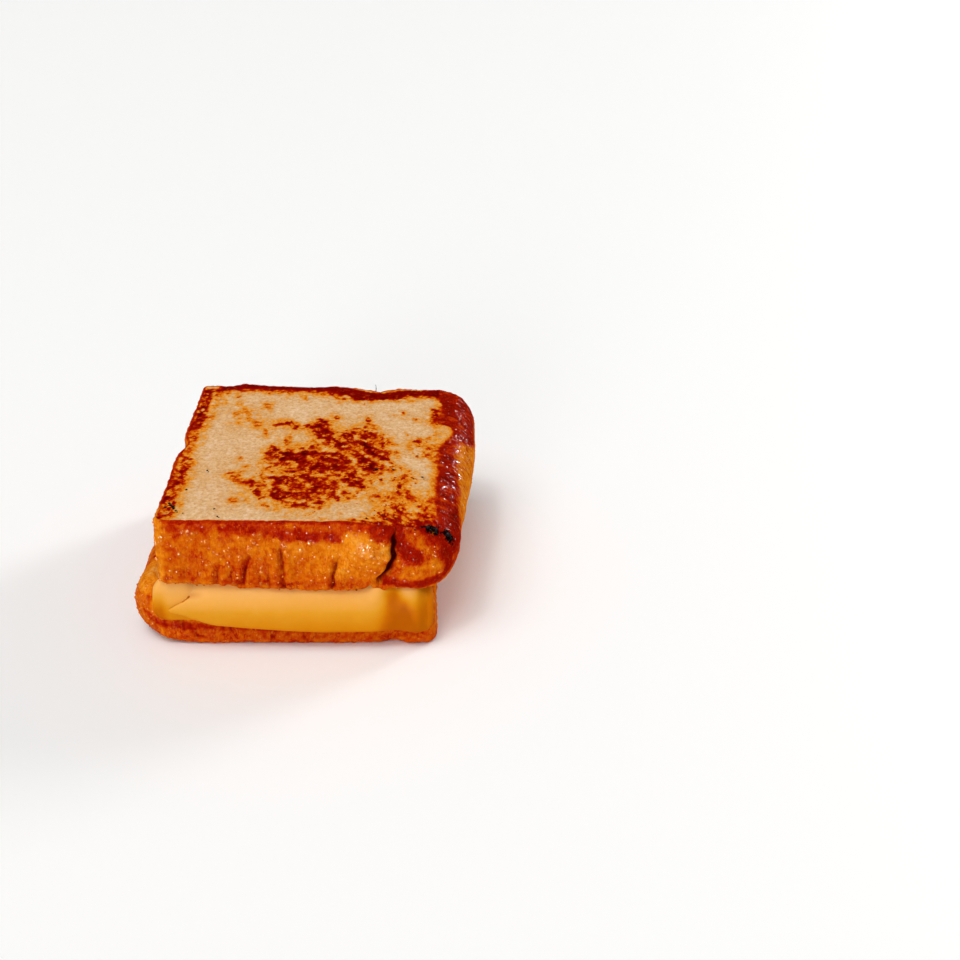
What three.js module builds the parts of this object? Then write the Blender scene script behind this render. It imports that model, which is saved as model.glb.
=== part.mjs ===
// A toasted cheese sandwich: two thick slices of white loaf with two slices of
// processed cheese between them. The cheese hangs out over the front edge of the
// lower slice. The domed side of the loaf points right in the upper slice and left
// in the lower one. Millimetres, +Z up, +Y towards the back, the origin at the
// middle of the footprint on the surface that the sandwich stands on.
import * as THREE from "three";

// ---------------------------------------------------------------- sizes
const UPPER = { left: -46.3, right: 58, front: -52, back: 52.4 }; // widest outline of the upper slice
const UPPER_CORNERS = { fl: 3.5, fr: 14, br: 9.5, bl: 2.5 }; // its corner radii, seen from above
const UPPER_TOP = 49; // height of the grilled face
const UPPER_BOTTOM = 24.5; // height of the face on the cheese
const UPPER_DOME = { over: 12, high: 0.56, under: 6 }; // the domed crust: how far it rolls in at the top, where it is widest, how far it tucks in below
const LOWER = { left: -57.6, right: 45, front: -50.4, back: 51 };
const LOWER_CORNERS = { fl: 12, fr: 4, br: 4, bl: 11 };
const LOWER_DOME = { over: 8, high: 0.52, under: 6 };
const CHEESE = 1.5; // thickness of one slice of cheese
const GAP = 0.3; // clearance between two pieces
const LAYERS = 2 * CHEESE + 3 * GAP; // between the two slices of bread
const LOWER_TOP = UPPER_BOTTOM - LAYERS;
const BEND = 6; // rounding of the lower slice's front rim, which the cheese bends over
const BEND_Y = LOWER.front + BEND;
const CHEESE_BACK = 47; // the cheese ends here at the back
const CREASE_X = 31.4; // the fold in the front crust where the dome of the loaf begins
const BACK_CREASE_X = 21; // the same fold at the back
const FOLD_X = 30.5; // the fold in the hanging cheese

// ---------------------------------------------------------------- small functions
const clamp = (x) => Math.min(1, Math.max(0, x));
const smooth = (a, b, x) => {
  const t = clamp((x - a) / (b - a));
  return t * t * (3 - 2 * t);
};
const bump = (x, centre, width) => Math.exp(-(((x - centre) / width) ** 2));
const lerp = (a, b, t) => a + (b - a) * t;
// A function that spends more of its even steps near the shares in near.
function closer(near, width, gain) {
  const weight = (t) =>
    1 + near.reduce((s, c) => s + gain * bump(t, c, width), 0);
  const fine = 500,
    sum = [0];
  for (let i = 0; i < fine; i++)
    sum.push(sum[i] + weight((i + 0.5) / fine) / fine);
  return (t) => {
    const goal = clamp(t) * sum[fine];
    let i = 1;
    while (i < fine && sum[i] < goal) i++;
    return clamp((i - 1 + (goal - sum[i - 1]) / (sum[i] - sum[i - 1])) / fine);
  };
}

// ---------------------------------------------------------------- outline of a slice
// Side 0 runs along the front to the right, 1 along the right to the back, 2 along the
// back to the left, 3 along the left to the front, each from the middle of one corner
// to the middle of the next. t is the share of its length.
function outline(size, corners, side, t) {
  const { left, right, front, back } = size;
  const radii = [corners.fl, corners.fr, corners.br, corners.bl];
  const at = [
    [left, front],
    [right, front],
    [right, back],
    [left, back],
  ];
  const a = radii[side],
    b = radii[(side + 1) % 4];
  const [x0, y0] = at[side],
    [x1, y1] = at[(side + 1) % 4];
  const whole = Math.hypot(x1 - x0, y1 - y0);
  const dx = (x1 - x0) / whole,
    dy = (y1 - y0) / whole; // along the side; its outward normal is (dy, -dx)
  const arcA = (a * Math.PI) / 4,
    arcB = (b * Math.PI) / 4,
    flat = whole - a - b;
  const run = t * (arcA + flat + arcB);
  let along, inwards, turn;
  if (run < arcA) {
    turn = run / a - Math.PI / 4;
    along = a + a * Math.sin(turn);
    inwards = a - a * Math.cos(turn);
  } else if (run < arcA + flat) {
    turn = 0;
    along = a + run - arcA;
    inwards = 0;
  } else {
    turn = (run - arcA - flat) / b;
    along = whole - b + b * Math.sin(turn);
    inwards = b - b * Math.cos(turn);
  }
  return {
    x: x0 + dx * along - dy * inwards,
    y: y0 + dy * along + dx * inwards,
    nx: dy * Math.cos(turn) + dx * Math.sin(turn),
    ny: -dx * Math.cos(turn) + dy * Math.sin(turn),
  };
}

// ---------------------------------------------------------------- profile of a rim
// From the lower edge, t = 0, to the upper edge, t = 1. out is how far it stands out from
// the outline, and up is the share of the height.
function uprightProfile(t, height, low, high, swell) {
  const arcLow = (low * Math.PI) / 2,
    arcHigh = (high * Math.PI) / 2,
    flat = height - low - high;
  const run = t * (arcLow + flat + arcHigh);
  let out, z;
  if (run < arcLow) {
    const a = run / low;
    out = -low + low * Math.sin(a);
    z = low - low * Math.cos(a);
  } else if (run < arcLow + flat) {
    out = 0;
    z = low + run - arcLow;
  } else {
    const a = (run - arcLow - flat) / high;
    out = -high + high * Math.cos(a);
    z = height - high + high * Math.sin(a);
  }
  return { out: out - swell * (1 - Math.sin(Math.PI * t)), up: z / height };
}
function domedProfile(t, { over, high, under }) {
  const a = (t - 0.5) * Math.PI;
  return t > 0.5
    ? { out: -over * (1 - Math.cos(a)), up: high + (1 - high) * Math.sin(a) }
    : { out: -under * (1 - Math.cos(a)), up: high + high * Math.sin(a) };
}
const mixProfile = (p, q, w) => ({
  out: lerp(p.out, q.out, w),
  up: lerp(p.up, q.up, w),
});

// ---------------------------------------------------------------- a slice of bread
// A box whose points are moved: those on its four sides go to the outline and the rim's
// profile, and those inside its top and bottom are placed from the four edges around them.
function sliceGeometry(s, nx, ny, rows) {
  const g = new THREE.BoxGeometry(1, 1, 1, nx, ny, rows);
  const rim = (u, v, w) => {
    const [side, t] =
      v < 1e-6
        ? [0, s.along(u)]
        : u > 1 - 1e-6
          ? [1, s.deep(v)]
          : v > 1 - 1e-6
            ? [2, 1 - s.along(u)]
            : [3, 1 - s.deep(v)];
    const o = s.edge(side, t);
    const at = (r) => {
      const p = s.profile(o, r);
      return { x: o.x + o.nx * p.out, y: o.y + o.ny * p.out, up: p.up };
    };
    const low = at(0),
      high = at(1),
      here = at(w);
    const z = lerp(s.bottom(low.x, low.y), s.top(high.x, high.y), here.up);
    return [here.x, here.y, z];
  };
  const face = (u, v, w) => {
    const su = s.along(u),
      sv = s.deep(v);
    const [x, y] = [0, 1].map(
      (k) =>
        (1 - sv) * rim(u, 0, w)[k] +
        sv * rim(u, 1, w)[k] +
        (1 - su) * rim(0, v, w)[k] +
        su * rim(1, v, w)[k] -
        (1 - su) * (1 - sv) * rim(0, 0, w)[k] -
        su * (1 - sv) * rim(1, 0, w)[k] -
        (1 - su) * sv * rim(0, 1, w)[k] -
        su * sv * rim(1, 1, w)[k],
    );
    return [x, y, w > 0.5 ? s.top(x, y) : s.bottom(x, y)];
  };
  const p = g.attributes.position;
  for (let i = 0; i < p.count; i++) {
    const u = p.getX(i) + 0.5,
      v = p.getY(i) + 0.5,
      w = p.getZ(i) + 0.5;
    const onSide = Math.min(u, v, 1 - u, 1 - v) < 1e-6;
    p.setXYZ(i, ...s.shape(...(onSide ? rim(u, v, w) : face(u, v, w))));
  }
  g.computeVertexNormals();
  return g;
}

// ---------------------------------------------------------------- the face that the pieces share
// Height of the lower slice's top, which the cheese and the upper slice follow.
function bedTop(x, y) {
  return (
    LOWER_TOP +
    smooth(-22, -50, y) *
      (1.3 * smooth(-5, -38, x) -
        1.1 * bump(x, 8, 14) -
        1.9 * smooth(29, 42, x)) -
    2.6 * smooth(38, 57, x)
  );
}
// The surface at a distance above that face, bent down over the front rim.
function layerTop(x, y, off) {
  if (y >= BEND_Y) return bedTop(x, y) + off;
  const r = BEND + off;
  return (
    bedTop(x, BEND_Y) - BEND + Math.sqrt(Math.max(r * r - (BEND_Y - y) ** 2, 4))
  );
}

// ---------------------------------------------------------------- the upper slice
// Its right half hangs past the lower slice, so the right edge and most of all the
// front right corner droop.
const upperSlice = {
  along: closer([0, 0.74, 1], 0.035, 3),
  deep: closer([0, 0.53, 1], 0.04, 2),
  top: (x, y) =>
    UPPER_TOP -
    0.008 * (x + 45) -
    1.2 * smooth(26, 46, x) -
    4.2 * smooth(16, 46, x) * smooth(-22, -52, y) -
    1.2 * bump(x, BACK_CREASE_X, 9) * smooth(36, 51, y) +
    0.6 * bump(x, -28, 5) * smooth(44, 51, y) +
    0.25 * Math.sin(x / 9 + 1) * Math.cos(y / 11),
  bottom: (x, y) =>
    layerTop(x, Math.max(y, -50.6 + 1.5 * smooth(-8, -30, x)), LAYERS) +
    1.6 * bump(x, 26.5, 3) * smooth(-30, -50, y),
  edge: (side, t) => {
    const o = outline(UPPER, UPPER_CORNERS, side, t);
    const slant = -5.2 * smooth(26, -50, o.y) * smooth(20, 56, o.x); // the right side runs in towards the front
    const notch = 2 * bump(o.y, 3, 4.6) * smooth(-38, -45, o.x); // the nick in the left edge
    const wave =
      (0.7 * bump(o.x, -28, 5) - 1.2 * bump(o.x, BACK_CREASE_X, 8)) *
      smooth(44, 51, o.y);
    return { ...o, x: o.x + slant + notch, y: o.y + wave };
  },
  profile: (o, r) =>
    mixProfile(
      uprightProfile(r, UPPER_TOP - UPPER_BOTTOM, 1.5, 1, 0.35),
      domedProfile(r, UPPER_DOME),
      lerp(
        0.45 * smooth(30, 44, o.x) * smooth(-44, -50, o.y),
        1,
        smooth(42, 56, o.x) * (1 - 0.6 * smooth(38, 49, o.y)), // squarer at the back
      ),
    ),
  // The fold in the front crust with the swelling beside it, and the fold at the back.
  shape: (x, y, z) => {
    const high = smooth(22, 29, z) * smooth(50, 45, z);
    const d = x - (CREASE_X - 5 * clamp((36 - z) / 9) ** 1.7);
    const swelling =
      1.9 * bump(x, 22, 7) * bump(z, 36, 9) * (d < 0 ? 1 : Math.exp(-d / 0.8));
    const groove = 2.9 * Math.exp(-Math.abs(d) / (d < 0 ? 0.9 : 2.6)) * high;
    const wave = 0.35 * Math.sin(x / 3.1) * Math.sin((z - 22) / 6) * high;
    const e = x - BACK_CREASE_X - (z - 36) / 12;
    const backFold =
      2.2 * Math.exp(-Math.abs(e) / 2.4) * high - 0.9 * bump(e, -8, 6) * high;
    return [
      x,
      y +
        smooth(-40, -51, y) * (groove - swelling + wave) -
        smooth(40, 51, y) * (backFold + wave),
      z,
    ];
  },
};

// ---------------------------------------------------------------- the lower slice
const foldDepth = (x, depth, width) =>
  depth * bump(x, FOLD_X, width) - 0.5 * bump(x, FOLD_X + 5.5, 3);
const lowerSlice = {
  along: closer([0, 0.84, 1], 0.04, 2.5),
  deep: closer([0, 1], 0.04, 2),
  top: (x, y) => bedTop(Math.min(x, 45), y) + 0.7 * smooth(-46, -53, x),
  bottom: (x, y) =>
    4.2 * smooth(-34, -58, x) * smooth(-26, -50, y) +
    0.8 * smooth(-44, -57, x) * smooth(30, 50, y) +
    0.6 * smooth(34, 45, x) * smooth(38, 51, y),
  edge: (side, t) => {
    const o = outline(LOWER, LOWER_CORNERS, side, t);
    const wave =
      0.4 * Math.sin(o.x / 13 + 0.6) * smooth(40, 50, o.y) +
      0.5 * Math.sin(o.y / 14) * Math.abs(o.nx);
    return { ...o, x: o.x + o.nx * wave, y: o.y + o.ny * wave };
  },
  profile: (o, r) => {
    const front = smooth(-38, -49, o.y);
    return mixProfile(
      uprightProfile(r, LOWER_TOP, 2.2, lerp(1.6, BEND, front), 0),
      domedProfile(r, LOWER_DOME),
      0.85 * smooth(-46, -56, o.x),
    );
  },
  shape: (x, y, z) => {
    const high = smooth(1, 6, z) * smooth(20.5, 15, z);
    const e = x + 33 - (z - 10) / 9;
    const backFold =
      2.4 * Math.exp(-Math.abs(e) / 2.4) * high - 0.8 * bump(e, 8, 6) * high;
    return [
      x,
      y +
        foldDepth(x, 1.9, 3.6) * smooth(-40, -48, y) -
        backFold * smooth(40, 50, y),
      z,
    ];
  },
};

// ---------------------------------------------------------------- the cheese
// A sheet lies on the lower slice, bends over its front rim and hangs down. run is the
// distance along it from the end of the bend: up over the bend to the back, down on the
// part that hangs.
function cheesePoint(x, run, off) {
  const r = BEND + off,
    arc = (r * Math.PI) / 2,
    cz = bedTop(x, BEND_Y) - BEND;
  const fold = foldDepth(x, 1.7, 3.2);
  if (run <= 0)
    return { y: BEND_Y - r + fold, z: cz + run, ny: -1, nz: 0 };
  if (run < arc) {
    const a = run / r;
    const y = BEND_Y - r * Math.cos(a);
    return {
      y: y + fold * smooth(-40, -48, y),
      z: cz + r * Math.sin(a),
      ny: -Math.cos(a),
      nz: Math.sin(a),
    };
  }
  const y = BEND_Y + run - arc;
  return {
    y: y + fold * smooth(-40, -48, y),
    z: bedTop(x, y) + off,
    ny: 0,
    nz: 1,
  };
}
// A flat box whose points are moved. left and right give the sheet's side edges in x
// at a run, and low the run where the sheet ends below at an x.
function cheeseGeometry({ off, left, right, low }, nx, ny) {
  const g = new THREE.BoxGeometry(1, 1, 1, nx, ny, 1);
  const across = closer([0, 0.85, 1], 0.05, 2.5),
    down = closer([0, 0.1, 0.16, 1], 0.05, 2);
  const p = g.attributes.position;
  const start = CHEESE_BACK - BEND_Y + ((BEND + off) * Math.PI) / 2;
  for (let i = 0; i < p.count; i++) {
    const u = across(p.getX(i) + 0.5),
      v = down(p.getY(i) + 0.5);
    // A few passes settle the corner that a side and the lower edge share.
    let x = lerp(left(0), right(0), u),
      run = 0;
    for (let k = 0; k < 5; k++) {
      run = lerp(low(x), start, v);
      x = lerp(left(run), right(run), u);
    }
    const side = Math.min(u, 1 - u) * (right(run) - left(run)),
      end = Math.min(v, 1 - v) * (start - low(x));
    const full = (d) => Math.sqrt(1 - (1 - clamp(0.12 + d / CHEESE)) ** 2);
    const half = (CHEESE / 2) * full(side) * full(end) * Math.sign(p.getZ(i));
    const c = cheesePoint(x, run, off + CHEESE / 2);
    p.setXYZ(i, x, c.y + c.ny * half, c.z + c.nz * half);
  }
  g.computeVertexNormals();
  return g;
}
const lowerCheese = {
  off: GAP,
  left: (run) =>
    -45 - 3.5 * smooth(14, 7, run) + 1.6 * clamp((1.5 - run) / 4) ** 2,
  right: (run) =>
    43.5 + 0.8 * smooth(14, 6, run) - 1.2 * clamp((1 - run) / 5) ** 2,
  low: (x) =>
    -4.8 + 3.6 * smooth(-44.5, -48.5, x) - 1.2 * smooth(-38, 0, x) + 2 * smooth(41, 44.5, x),
};
const upperCheese = {
  off: 2 * GAP + CHEESE,
  left: (run) => -37 - 6.4 * smooth(5, -0.5, run),
  right: (run) => 42.5 + 0.5 * smooth(14, 6, run) - 1.2 * clamp((0 - run) / 5) ** 2,
  low: (x) =>
    -0.6 -
    4.7 * smooth(-45, -26, x) -
    1.0 * smooth(-30, 4, x) +
    2 * smooth(39, 43.5, x),
};

// ---------------------------------------------------------------- materials
const crust = new THREE.MeshStandardMaterial({
  name: "toasted_bread",
  color: new THREE.Color(0.66, 0.36, 0.13),
  roughness: 0.62,
  metalness: 0,
});
const melted = new THREE.MeshStandardMaterial({
  name: "cheese",
  color: new THREE.Color(0.95, 0.6, 0.16),
  roughness: 0.35,
  metalness: 0,
});

// ---------------------------------------------------------------- the sandwich
const sandwich = new THREE.Group();
function add(name, geometry, material) {
  const mesh = new THREE.Mesh(geometry, material);
  mesh.name = name;
  sandwich.add(mesh);
}
add("bread_upper", sliceGeometry(upperSlice, 28, 18, 9), crust);
add("bread_lower", sliceGeometry(lowerSlice, 20, 16, 8), crust.clone());
add("cheese_lower", cheeseGeometry(lowerCheese, 20, 18), melted);
add("cheese_upper", cheeseGeometry(upperCheese, 20, 18), melted.clone());
// The origin is at the middle of the footprint of the whole.
const middle = new THREE.Box3().setFromObject(sandwich, true).getCenter(new THREE.Vector3());
sandwich.position.set(-middle.x, -middle.y, 0);

export default sandwich;
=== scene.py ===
import math

import bmesh
import bpy
import numpy as np
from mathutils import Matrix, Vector


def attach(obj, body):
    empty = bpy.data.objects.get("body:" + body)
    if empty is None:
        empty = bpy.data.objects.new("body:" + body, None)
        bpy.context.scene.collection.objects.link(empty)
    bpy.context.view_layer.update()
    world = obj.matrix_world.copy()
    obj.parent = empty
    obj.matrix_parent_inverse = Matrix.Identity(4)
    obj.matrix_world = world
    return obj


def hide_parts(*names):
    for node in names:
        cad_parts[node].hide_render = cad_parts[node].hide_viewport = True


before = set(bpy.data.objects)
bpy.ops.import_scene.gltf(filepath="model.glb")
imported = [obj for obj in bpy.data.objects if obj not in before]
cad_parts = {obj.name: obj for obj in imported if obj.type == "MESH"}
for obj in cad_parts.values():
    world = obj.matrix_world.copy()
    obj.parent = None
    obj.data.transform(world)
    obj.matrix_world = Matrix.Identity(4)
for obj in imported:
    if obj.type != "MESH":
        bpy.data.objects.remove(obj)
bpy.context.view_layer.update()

# Everything below is worked out in millimetres in the sandwich's own construction frame.
# SHIFT moves that frame so that the origin is at the middle of the footprint.
SHIFT = np.array([0.085, 0.538, 0.0])
MM = 0.001

# ------------------------------------------------------------------ sizes, as in the CAD
UPPER = dict(left=-46.3, right=58.0, front=-52.0, back=52.4)
UPPER_CORNERS = dict(fl=3.5, fr=14.0, br=9.5, bl=2.5)
UPPER_TOP, UPPER_BOTTOM = 49.0, 24.5
UPPER_DOME = dict(over=12.0, high=0.56, under=6.0)
LOWER = dict(left=-57.6, right=45.0, front=-50.4, back=51.0)
LOWER_CORNERS = dict(fl=12.0, fr=4.0, br=4.0, bl=11.0)
LOWER_DOME = dict(over=8.0, high=0.52, under=6.0)
LAYERS = 3.9
LOWER_TOP = UPPER_BOTTOM - LAYERS
BEND = 6.0
BEND_Y = LOWER["front"] + BEND
SHEET = LAYERS / 2
CHEESE_BACK = 47.0
CREASE_X, BACK_CREASE_X, FOLD_X = 31.4, 21.0, 30.5


# ------------------------------------------------------------------ small functions
def clamp(x):
    return np.clip(x, 0.0, 1.0)


def smooth(a, b, x):
    t = clamp((x - a) / (b - a))
    return t * t * (3 - 2 * t)


def bump(x, centre, width):
    return np.exp(-(((x - centre) / width) ** 2))


def lerp(a, b, t):
    return a + (b - a) * t


def closer(near, width, gain):
    """A function that spends more of its even steps near the shares in near."""
    mid = (np.arange(2000) + 0.5) / 2000
    weight = 1 + sum(gain * bump(mid, c, width) for c in near)
    total = np.concatenate([[0], np.cumsum(weight)])
    total /= total[-1]
    return lambda t: np.interp(t, total, np.arange(2001) / 2000)


# ------------------------------------------------------------------ noise
def hashed(ix, iy, iz, seed):
    with np.errstate(over="ignore"):
        h = (
            ix.astype(np.uint32) * np.uint32(0x8DA6B343)
            ^ iy.astype(np.uint32) * np.uint32(0xD8163841)
            ^ iz.astype(np.uint32) * np.uint32(0xCB1AB31F)
            ^ np.uint32((seed * 0x9E3779B9) & 0xFFFFFFFF)
        )
        h ^= h >> np.uint32(16)
        h *= np.uint32(0x7FEB352D)
        h ^= h >> np.uint32(15)
        h *= np.uint32(0x846CA68B)
        h ^= h >> np.uint32(16)
    return h.astype(np.float64) / 4294967296.0


def noise(p, size, seed):
    """Gradient noise, about -1 to 1, with features of about size mm. size can be one number or three."""
    q = p / np.asarray(size, float)
    c = np.floor(q)
    f = q - c
    c = c.astype(np.int64)
    w = f**3 * (f * (f * 6 - 15) + 10)
    total = 0.0
    for dx in (0, 1):
        for dy in (0, 1):
            for dz in (0, 1):
                i, j, k = c[:, 0] + dx, c[:, 1] + dy, c[:, 2] + dz
                g = (
                    (hashed(i, j, k, seed) * 2 - 1) * (f[:, 0] - dx)
                    + (hashed(i, j, k, seed + 101) * 2 - 1) * (f[:, 1] - dy)
                    + (hashed(i, j, k, seed + 202) * 2 - 1) * (f[:, 2] - dz)
                )
                total = total + g * (
                    (w[:, 0] if dx else 1 - w[:, 0])
                    * (w[:, 1] if dy else 1 - w[:, 1])
                    * (w[:, 2] if dz else 1 - w[:, 2])
                )
    return total * 1.5


def fbm(p, size, seed, octaves=3, gain=0.5):
    size = np.asarray(size, float)
    return sum(
        noise(p, size / 2**i, seed + 7 * i) * gain**i for i in range(octaves)
    )


def cells(p, size, seed):
    """Distance to the nearest scattered point over size, and a random number of that point."""
    q = p / np.asarray(size, float)
    c = np.floor(q).astype(np.int64)
    best = np.full(len(p), 9.0)
    which = np.zeros(len(p))
    for dx in (-1, 0, 1):
        for dy in (-1, 0, 1):
            for dz in (-1, 0, 1):
                i, j, k = c[:, 0] + dx, c[:, 1] + dy, c[:, 2] + dz
                d = (
                    (i + hashed(i, j, k, seed) - q[:, 0]) ** 2
                    + (j + hashed(i, j, k, seed + 1) - q[:, 1]) ** 2
                    + (k + hashed(i, j, k, seed + 2) - q[:, 2]) ** 2
                )
                near = d < best
                best = np.where(near, d, best)
                which = np.where(near, hashed(i, j, k, seed + 3), which)
    return np.sqrt(best), which


# ------------------------------------------------------------------ outline and rim of a slice
def outline(size, corners, side, t):
    """The outline's point and outward normal at the share t of each side, for one side number and an array of t."""
    left, right, front, back = (size[k] for k in ("left", "right", "front", "back"))
    radii = [corners[k] for k in ("fl", "fr", "br", "bl")]
    at = [(left, front), (right, front), (right, back), (left, back)]
    a, b = radii[side], radii[(side + 1) % 4]
    (x0, y0), (x1, y1) = at[side], at[(side + 1) % 4]
    whole = math.hypot(x1 - x0, y1 - y0)
    dx, dy = (x1 - x0) / whole, (y1 - y0) / whole
    arc_a, arc_b, flat = a * math.pi / 4, b * math.pi / 4, whole - a - b
    run = t * (arc_a + flat + arc_b)
    first, last = run < arc_a, run >= arc_a + flat
    turn = np.where(
        first, run / a - math.pi / 4, np.where(last, (run - arc_a - flat) / b, 0.0)
    )
    along = np.where(
        first,
        a + a * np.sin(turn),
        np.where(last, whole - b + b * np.sin(turn), a + run - arc_a),
    )
    inwards = np.where(
        first, a - a * np.cos(turn), np.where(last, b - b * np.cos(turn), 0.0)
    )
    return (
        x0 + dx * along - dy * inwards,
        y0 + dy * along + dx * inwards,
        dy * np.cos(turn) + dx * np.sin(turn),
        -dx * np.cos(turn) + dy * np.sin(turn),
    )


def upright_profile(t, height, low, high, swell):
    arc_low, arc_high, flat = low * math.pi / 2, high * math.pi / 2, height - low - high
    run = t * (arc_low + flat + arc_high)
    a, b = run / low, (run - arc_low - flat) / high
    first, last = run < arc_low, run >= arc_low + flat
    out = np.where(
        first, -low + low * np.sin(a), np.where(last, -high + high * np.cos(b), 0.0)
    )
    z = np.where(
        first,
        low - low * np.cos(a),
        np.where(last, height - high + high * np.sin(b), low + run - arc_low),
    )
    return out - swell * (1 - np.sin(math.pi * t)), z / height


def domed_profile(t, over, high, under):
    a = (t - 0.5) * math.pi
    c, s = 1 - np.cos(a), np.sin(a)
    return (
        np.where(t > 0.5, -over * c, -under * c),
        np.where(t > 0.5, high + (1 - high) * s, high + high * s),
    )


def mixed(p, q, w):
    return lerp(p[0], q[0], w), lerp(p[1], q[1], w)


# ------------------------------------------------------------------ the face that the pieces share
def bed_top(x, y):
    return (
        LOWER_TOP
        + smooth(-22, -50, y)
        * (1.3 * smooth(-5, -38, x) - 1.1 * bump(x, 8, 14) - 1.9 * smooth(29, 42, x))
        - 2.6 * smooth(38, 57, x)
    )


def layer_top(x, y, off):
    r = BEND + off
    bent = (
        bed_top(x, BEND_Y)
        - BEND
        + np.sqrt(np.maximum(r * r - (BEND_Y - np.minimum(y, BEND_Y)) ** 2, 4))
    )
    return np.where(y >= BEND_Y, bed_top(x, y) + off, bent)


def crease_line(z):
    return CREASE_X - 5 * clamp((36 - z) / 9) ** 1.7 + 1.0 * smooth(40, 47, z) + 0.25 * np.sin(z * 1.3)


# ------------------------------------------------------------------ the two slices
class Upper:
    along = staticmethod(closer([0.78], 0.03, 1.6))
    deep = staticmethod(closer([0, 1], 0.03, 0.4))

    @staticmethod
    def lean(x, y, z):
        """Rows of the grid bend along the crease in the front."""
        return (crease_line(z) - CREASE_X) * np.exp(-(((x - CREASE_X) / 7) ** 2)) * smooth(-42, -49, y)

    @staticmethod
    def top(x, y):
        return (
            UPPER_TOP
            - 0.008 * (x + 45)
            - 1.2 * smooth(26, 46, x)
            - 4.2 * smooth(16, 46, x) * smooth(-22, -52, y)
            - 1.2 * bump(x, BACK_CREASE_X, 9) * smooth(36, 51, y)
            + 0.6 * bump(x, -28, 5) * smooth(44, 51, y)
            + 0.25 * np.sin(x / 9 + 1) * np.cos(y / 11)
        )

    @staticmethod
    def bottom(x, y):
        return layer_top(x, np.maximum(y, -50.6 + 1.5 * smooth(-8, -30, x)), LAYERS) + 1.6 * bump(
            x, 26.5, 3
        ) * smooth(-30, -50, y)

    @staticmethod
    def edge(side, t):
        x, y, nx, ny = outline(UPPER, UPPER_CORNERS, side, t)
        slant = -5.2 * smooth(26, -50, y) * smooth(20, 56, x)
        notch = 2.0 * bump(y, 3, 4.6) * smooth(-38, -45, x)
        wave = (0.7 * bump(x, -28, 5) - 1.2 * bump(x, BACK_CREASE_X, 8)) * smooth(
            44, 51, y
        )
        return x + slant + notch, y + wave, nx, ny

    @staticmethod
    def profile(x, y, t):
        rolled = lerp(
            0.45 * smooth(30, 44, x) * smooth(-44, -50, y), 1.0,
            smooth(42, 56, x) * (1 - 0.6 * smooth(38, 49, y)),
        )
        return mixed(
            upright_profile(t, UPPER_TOP - UPPER_BOTTOM, 1.5, 1.0, 0.35),
            domed_profile(t, **UPPER_DOME),
            rolled,
        )

    @staticmethod
    def shape(x, y, z):
        high = smooth(22, 28, z) * smooth(50, 46, z)
        d = x - crease_line(z)
        swelling = (
            2.1
            * bump(x, 22.5, 6.5)
            * bump(z, 36, 9)
            * np.where(d < 0, 1, np.exp(-np.maximum(d, 0) / 0.6))
        )
        groove = (
            3.6
            * np.exp(-np.abs(d) / np.where(d < 0, 0.45, 1.9))
            * smooth(23, 28, z)
            * smooth(50.0, 41.5, z)
        )
        wave = 0.35 * np.sin(x / 3.1) * np.sin((z - 22) / 6) * high
        e = x - BACK_CREASE_X - (z - 36) / 12
        back_fold = (
            2.4 * np.exp(-np.abs(e) / 1.8) * high - 0.9 * bump(e, -8, 6) * high
        )
        return (
            x,
            y
            + smooth(-40, -51, y) * (groove - swelling + wave)
            - smooth(40, 51, y) * (back_fold + wave),
            z,
        )


def fold_depth(x, depth, width):
    return depth * bump(x, FOLD_X, width) - 0.5 * bump(x, FOLD_X + 5.5, 3)


class Lower:
    along = staticmethod(closer([0, 0.03], 0.05, 0.8))
    deep = staticmethod(closer([0, 1], 0.05, 0.5))

    @staticmethod
    def lean(x, y, z):
        return 0 * x

    @staticmethod
    def top(x, y):
        return bed_top(np.minimum(x, 45), y) + 0.7 * smooth(-46, -53, x)

    @staticmethod
    def bottom(x, y):
        return (
            4.2 * smooth(-34, -58, x) * smooth(-26, -50, y)
            + 0.8 * smooth(-44, -57, x) * smooth(30, 50, y)
            + 0.6 * smooth(34, 45, x) * smooth(38, 51, y)
        )

    @staticmethod
    def edge(side, t):
        x, y, nx, ny = outline(LOWER, LOWER_CORNERS, side, t)
        wave = 0.4 * np.sin(x / 13 + 0.6) * smooth(40, 50, y) + 0.5 * np.sin(
            y / 14
        ) * np.abs(nx)
        return x + nx * wave, y + ny * wave, nx, ny

    @staticmethod
    def profile(x, y, t):
        front = smooth(-38, -49, y)
        return mixed(
            upright_profile(t, LOWER_TOP, 2.2, lerp(1.6, BEND, front), 0.0),
            domed_profile(t, **LOWER_DOME),
            0.85 * smooth(-46, -56, x),
        )

    @staticmethod
    def shape(x, y, z):
        high = smooth(1, 6, z) * smooth(20.5, 15, z)
        e = x + 33 - (z - 10) / 9
        back_fold = (
            2.4 * np.exp(-np.abs(e) / 2.0) * high - 0.8 * bump(e, 8, 6) * high
        )
        return (
            x,
            y
            + fold_depth(x, 1.9, 3.6) * smooth(-40, -48, y)
            - back_fold * smooth(40, 50, y),
            z,
        )


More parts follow.
